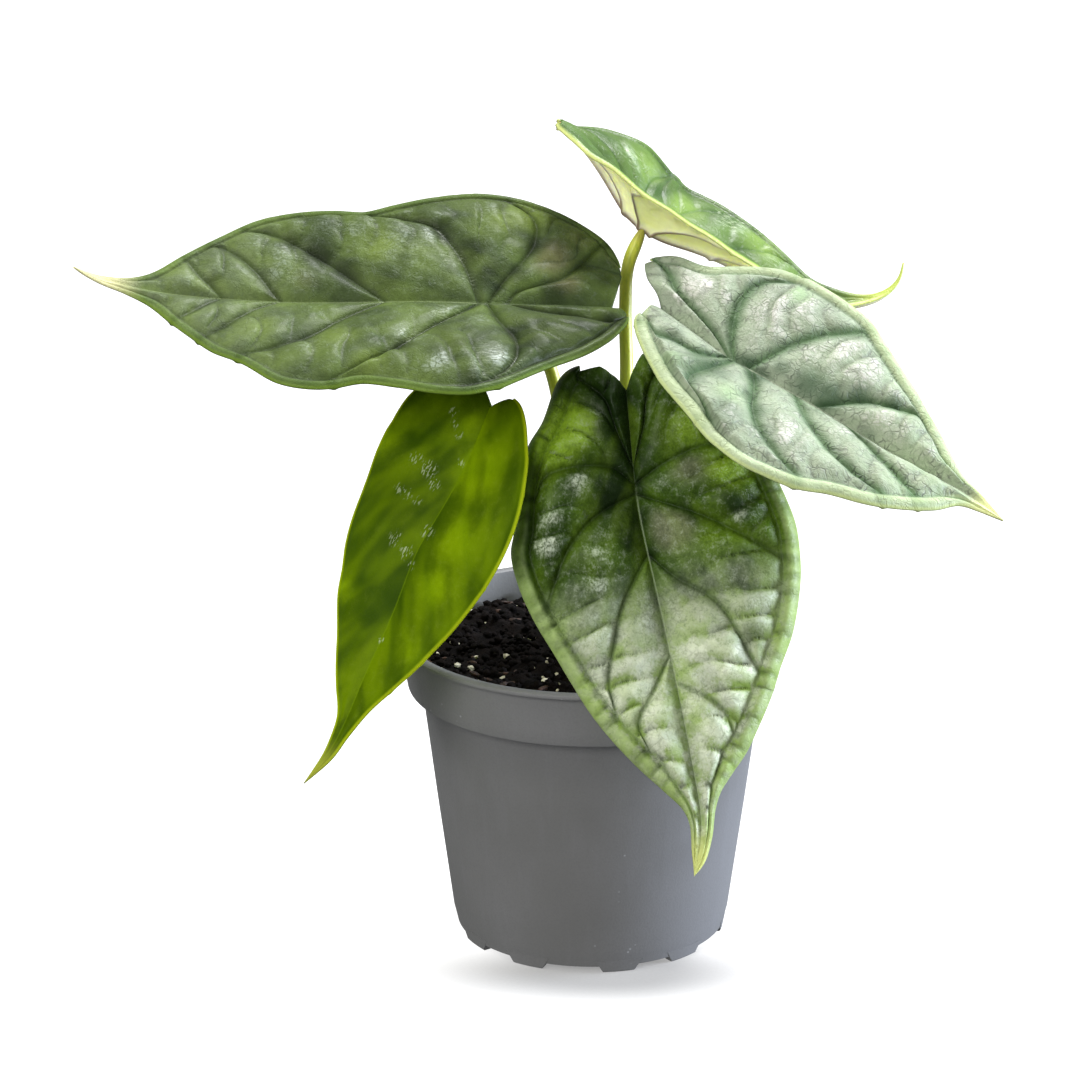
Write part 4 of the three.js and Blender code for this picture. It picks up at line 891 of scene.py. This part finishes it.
def makeGrains(source, count, kind):  # a mesh of irregular grains: 0 peat, 1 perlite, 2 bark
    bm = bmesh.new()
    for _ in range(count):
        r = math.sqrt(source.uniform(0.02, 0.93)) * soilSettings["edge"]
        angle = source.uniform(0, math.tau)
        x, y = r * math.cos(angle), r * math.sin(angle)
        size = (source.uniform(0.5, 1.5) ** 1.3, 0.25 + 1.2 * source.random() ** 2.2,
                source.uniform(0.5, 1.1))[kind]
        if r < soilSettings["clearOfStem"] + size:
            continue
        made = bmesh.ops.create_icosphere(bm, subdivisions=1, radius=size * mm)["verts"]
        stretch = source.uniform(2, 4) if kind == 2 else 1
        seed = Vector((source.uniform(-9, 9), source.uniform(-9, 9), source.uniform(-9, 9)))
        turn, tilt = source.uniform(0, math.tau), source.uniform(-0.3, 0.3)
        for vert in made:
            bend = 1 + 0.45 * noise.noise(vert.co.normalized() * 1.7 + seed)
            dx, dy, dz = vert.co.x * stretch * bend, vert.co.y * bend, vert.co.z * 0.8 * bend
            vert.co = (dx * math.cos(turn) - dy * math.sin(turn) + x * mm,
                       dx * math.sin(turn) + dy * math.cos(turn) + y * mm,
                       dz + dx * tilt + (soilSurface(x, y) + 0.25 * size) * mm)
    for face in bm.faces:
        face.material_index = kind
    grains = bpy.data.meshes.new("grains")
    bm.to_mesh(grains)
    bm.free()
    return grains


def makeSoil():
    settings = soilSettings
    count, bottom, taper = settings["grid"], settings["bottom"] * mm, settings["wallTaper"]
    source = random.Random(settings["seed"])
    skins = [peatSkin(), grainSkin("perlite", "#b4ae94", "#e6e1cc", 0.8),
             grainSkin("bark", "#1c100a", "#43291b", 0.75)]
    bm = bmesh.new()
    bmesh.ops.create_grid(bm, x_segments=count, y_segments=count, size=settings["edge"] * mm)
    for vert in bm.verts:  # the square grid becomes a disc
        x, y = vert.co.x / mm, vert.co.y / mm
        k = max(abs(x), abs(y)) / max(math.hypot(x, y), 1e-6)
        x, y = x * k, y * k
        vert.co = (x * mm, y * mm, soilSurface(x, y) * mm)
    rim = [edge for edge in bm.edges if edge.is_boundary]
    wall = bmesh.ops.extrude_edge_only(bm, edges=rim)["geom"]
    for vert in (e for e in wall if isinstance(e, bmesh.types.BMVert)):
        vert.co = (vert.co.x * taper, vert.co.y * taper, bottom)
    bmesh.ops.holes_fill(bm, edges=[edge for edge in bm.edges if edge.is_boundary], sides=0)
    bmesh.ops.recalc_face_normals(bm, faces=bm.faces[:])
    for kind, total in enumerate(settings["grains"]):
        for start in range(0, total, settings["batch"]):
            grains = makeGrains(source, min(settings["batch"], total - start), kind)
            bm.from_mesh(grains)
            bpy.data.meshes.remove(grains)
    return makeObject(bm, "pottingMix", skins, smooth=False)


soil = makeSoil()
for polygon in soil.data.polygons:
    polygon.use_smooth = polygon.material_index == 0
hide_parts("soil")
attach(soil, "root")
print("soil", len(soil.data.polygons), "faces")

# The short stem: ringed with old leaf scars, its top hidden by the stalks' feet
stemSettings = {
    "steps": 60, "lobes": 5, "turn": 54, "lobe": 0.035, "rough": 0.03,
    "profile": [(0, 80.4), (6, 80.4), (8.2, 81.5), (8.8, 83.5), (8.9, 85.4), (8.7, 86), (8.9, 86.6),
        (8.9, 87.6), (8.6, 88.3), (8.8, 88.9), (8.5, 89.9), (8.1, 90.3), (8.1, 91), (7.4, 91.8), (5.5, 92.4),
        (0, 92.7)],
}


def stemSkin():
    paint = Paint("stemSkin")
    place = paint.place()
    level = paint.node("SeparateXYZ", None, {0: place}, 2)
    fibre = paint.noise(paint.place((700, 700, 160)), 1.0, 4.0, 0.6)
    patch = paint.noise(place, 260.0, 3.0, 0.6)
    rings = ((level + patch * 0.0008) * 2900).math("SINE")
    color = paint.layers("#7d7a3c", [
        (patch.smooth(0.35, 0.65), "#96a04c"),
        (fibre.smooth(0.45, 0.7) * 0.6, "#6a5232"),
        (rings.smooth(0.5, 1.0) * 0.5, "#54402a"),
        ((1 - level.smooth(0.084, 0.0885)) * 0.8, "#3a2a1c"),
    ])
    return paint.finish(color, 0.55 + fibre * 0.2, (fibre + rings * 0.3, 0.6, 0.0006))


bm = spinProfile(stemSettings)
for vert in bm.verts:
    angle = math.atan2(vert.co.y, vert.co.x) - math.radians(stemSettings["turn"])
    lobe = stemSettings["lobe"] * math.cos(stemSettings["lobes"] * angle)
    swell = 1 + lobe + stemSettings["rough"] * noise.noise(vert.co * 500)
    vert.co.x, vert.co.y = vert.co.x * swell, vert.co.y * swell
stem = makeObject(bm, "crown", [stemSkin()])
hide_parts("stem_base")
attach(stem, "root")
print("stem", len(stem.data.polygons), "faces")

# Studio: pale floor, soft light from above on the left and a cooler one from the right. Places are in metres;
# a light is (name, place, size, power, colour).
studioSettings = {
    "floorSize": 6.0, "floorGlow": 0.97, "world": 0.3, "worldColor": "#f8f9fa",
    "lights": [
        ("topLight", (0.3, 0.55, 1.3), 0.6, 28, "#fdfdff"),
        ("leftLight", (-0.7, -0.3, 1.1), 0.5, 4, "#fffdf8"),
        ("frontLight", (-0.6, -1.1, 0.75), 0.8, 14, "#fffcf8"),
        ("rightLight", (1.1, 0.1, 0.25), 0.6, 30, "#e6eeff"),
    ],
    "target": (-0.0155, 0, 0.1225), "camera": (-0.0155, -1.3261, 0.5714), "lens": 156.8,
}


def floorSkin():
    paint = Paint("floorCard")
    place = paint.place()
    grain = paint.noise(place, 900.0, 2.0)
    color = paint.layers("#8a8a8a", [(grain.smooth(0.3, 0.7), "#8e8e8e")])
    # The glow dims in an oval just in front of the pot: a painted soft shadow, where the lamps' real shadow
    # also shows.
    oval = paint.node("VectorMath", {"operation": "MULTIPLY_ADD"},
                      {0: place, 1: (1, 2.4, 0), 2: (-0.005, 0.096, 0)})
    away = paint.node("VectorMath", {"operation": "LENGTH"}, {0: oval}, 1)
    glowAndShadow = paint.layers("#979797", [(away.smooth(0.018, 0.068), "#ffffff")])
    return paint.finish(color, 0.9, None, {"Specular IOR Level": 0.1, "Emission Color": glowAndShadow,
                                           "Emission Strength": studioSettings["floorGlow"]})


def addToScene(name, data, spot):  # turned towards the plant
    made = bpy.data.objects.new(name, data)
    made.location = spot
    aim = Vector(studioSettings["target"]) - Vector(spot)
    made.rotation_euler = aim.to_track_quat("-Z", "Y").to_euler()
    bpy.context.scene.collection.objects.link(made)
    return made


bm = bmesh.new()
bmesh.ops.create_grid(bm, x_segments=4, y_segments=4, size=studioSettings["floorSize"])
floor = makeObject(bm, "studioFloor", [floorSkin()])
floor.visible_diffuse = False  # the white card throws no light up into the leaves
floor.visible_glossy = False

world = bpy.data.worlds.new("studioAir")
bpy.context.scene.world = world
world.use_nodes = True
air = world.node_tree.nodes["Background"].inputs
air["Color"].default_value = colorOf(studioSettings["worldColor"])
air["Strength"].default_value = studioSettings["world"]

for name, spot, size, power, tint in studioSettings["lights"]:
    data = bpy.data.lights.new(name, "AREA")
    data.shape = "RECTANGLE"
    data.size, data.size_y, data.energy = size, size * 0.7, power
    data.color = colorOf(tint)[:3]
    addToScene(name, data, spot)

camera = addToScene("camera", bpy.data.cameras.new("camera"), studioSettings["camera"])
camera.data.sensor_width = 36
camera.data.lens = studioSettings["lens"]
camera.data.clip_end = 30
bpy.context.scene.camera = camera
bpy.context.scene.view_settings.view_transform = "Standard"
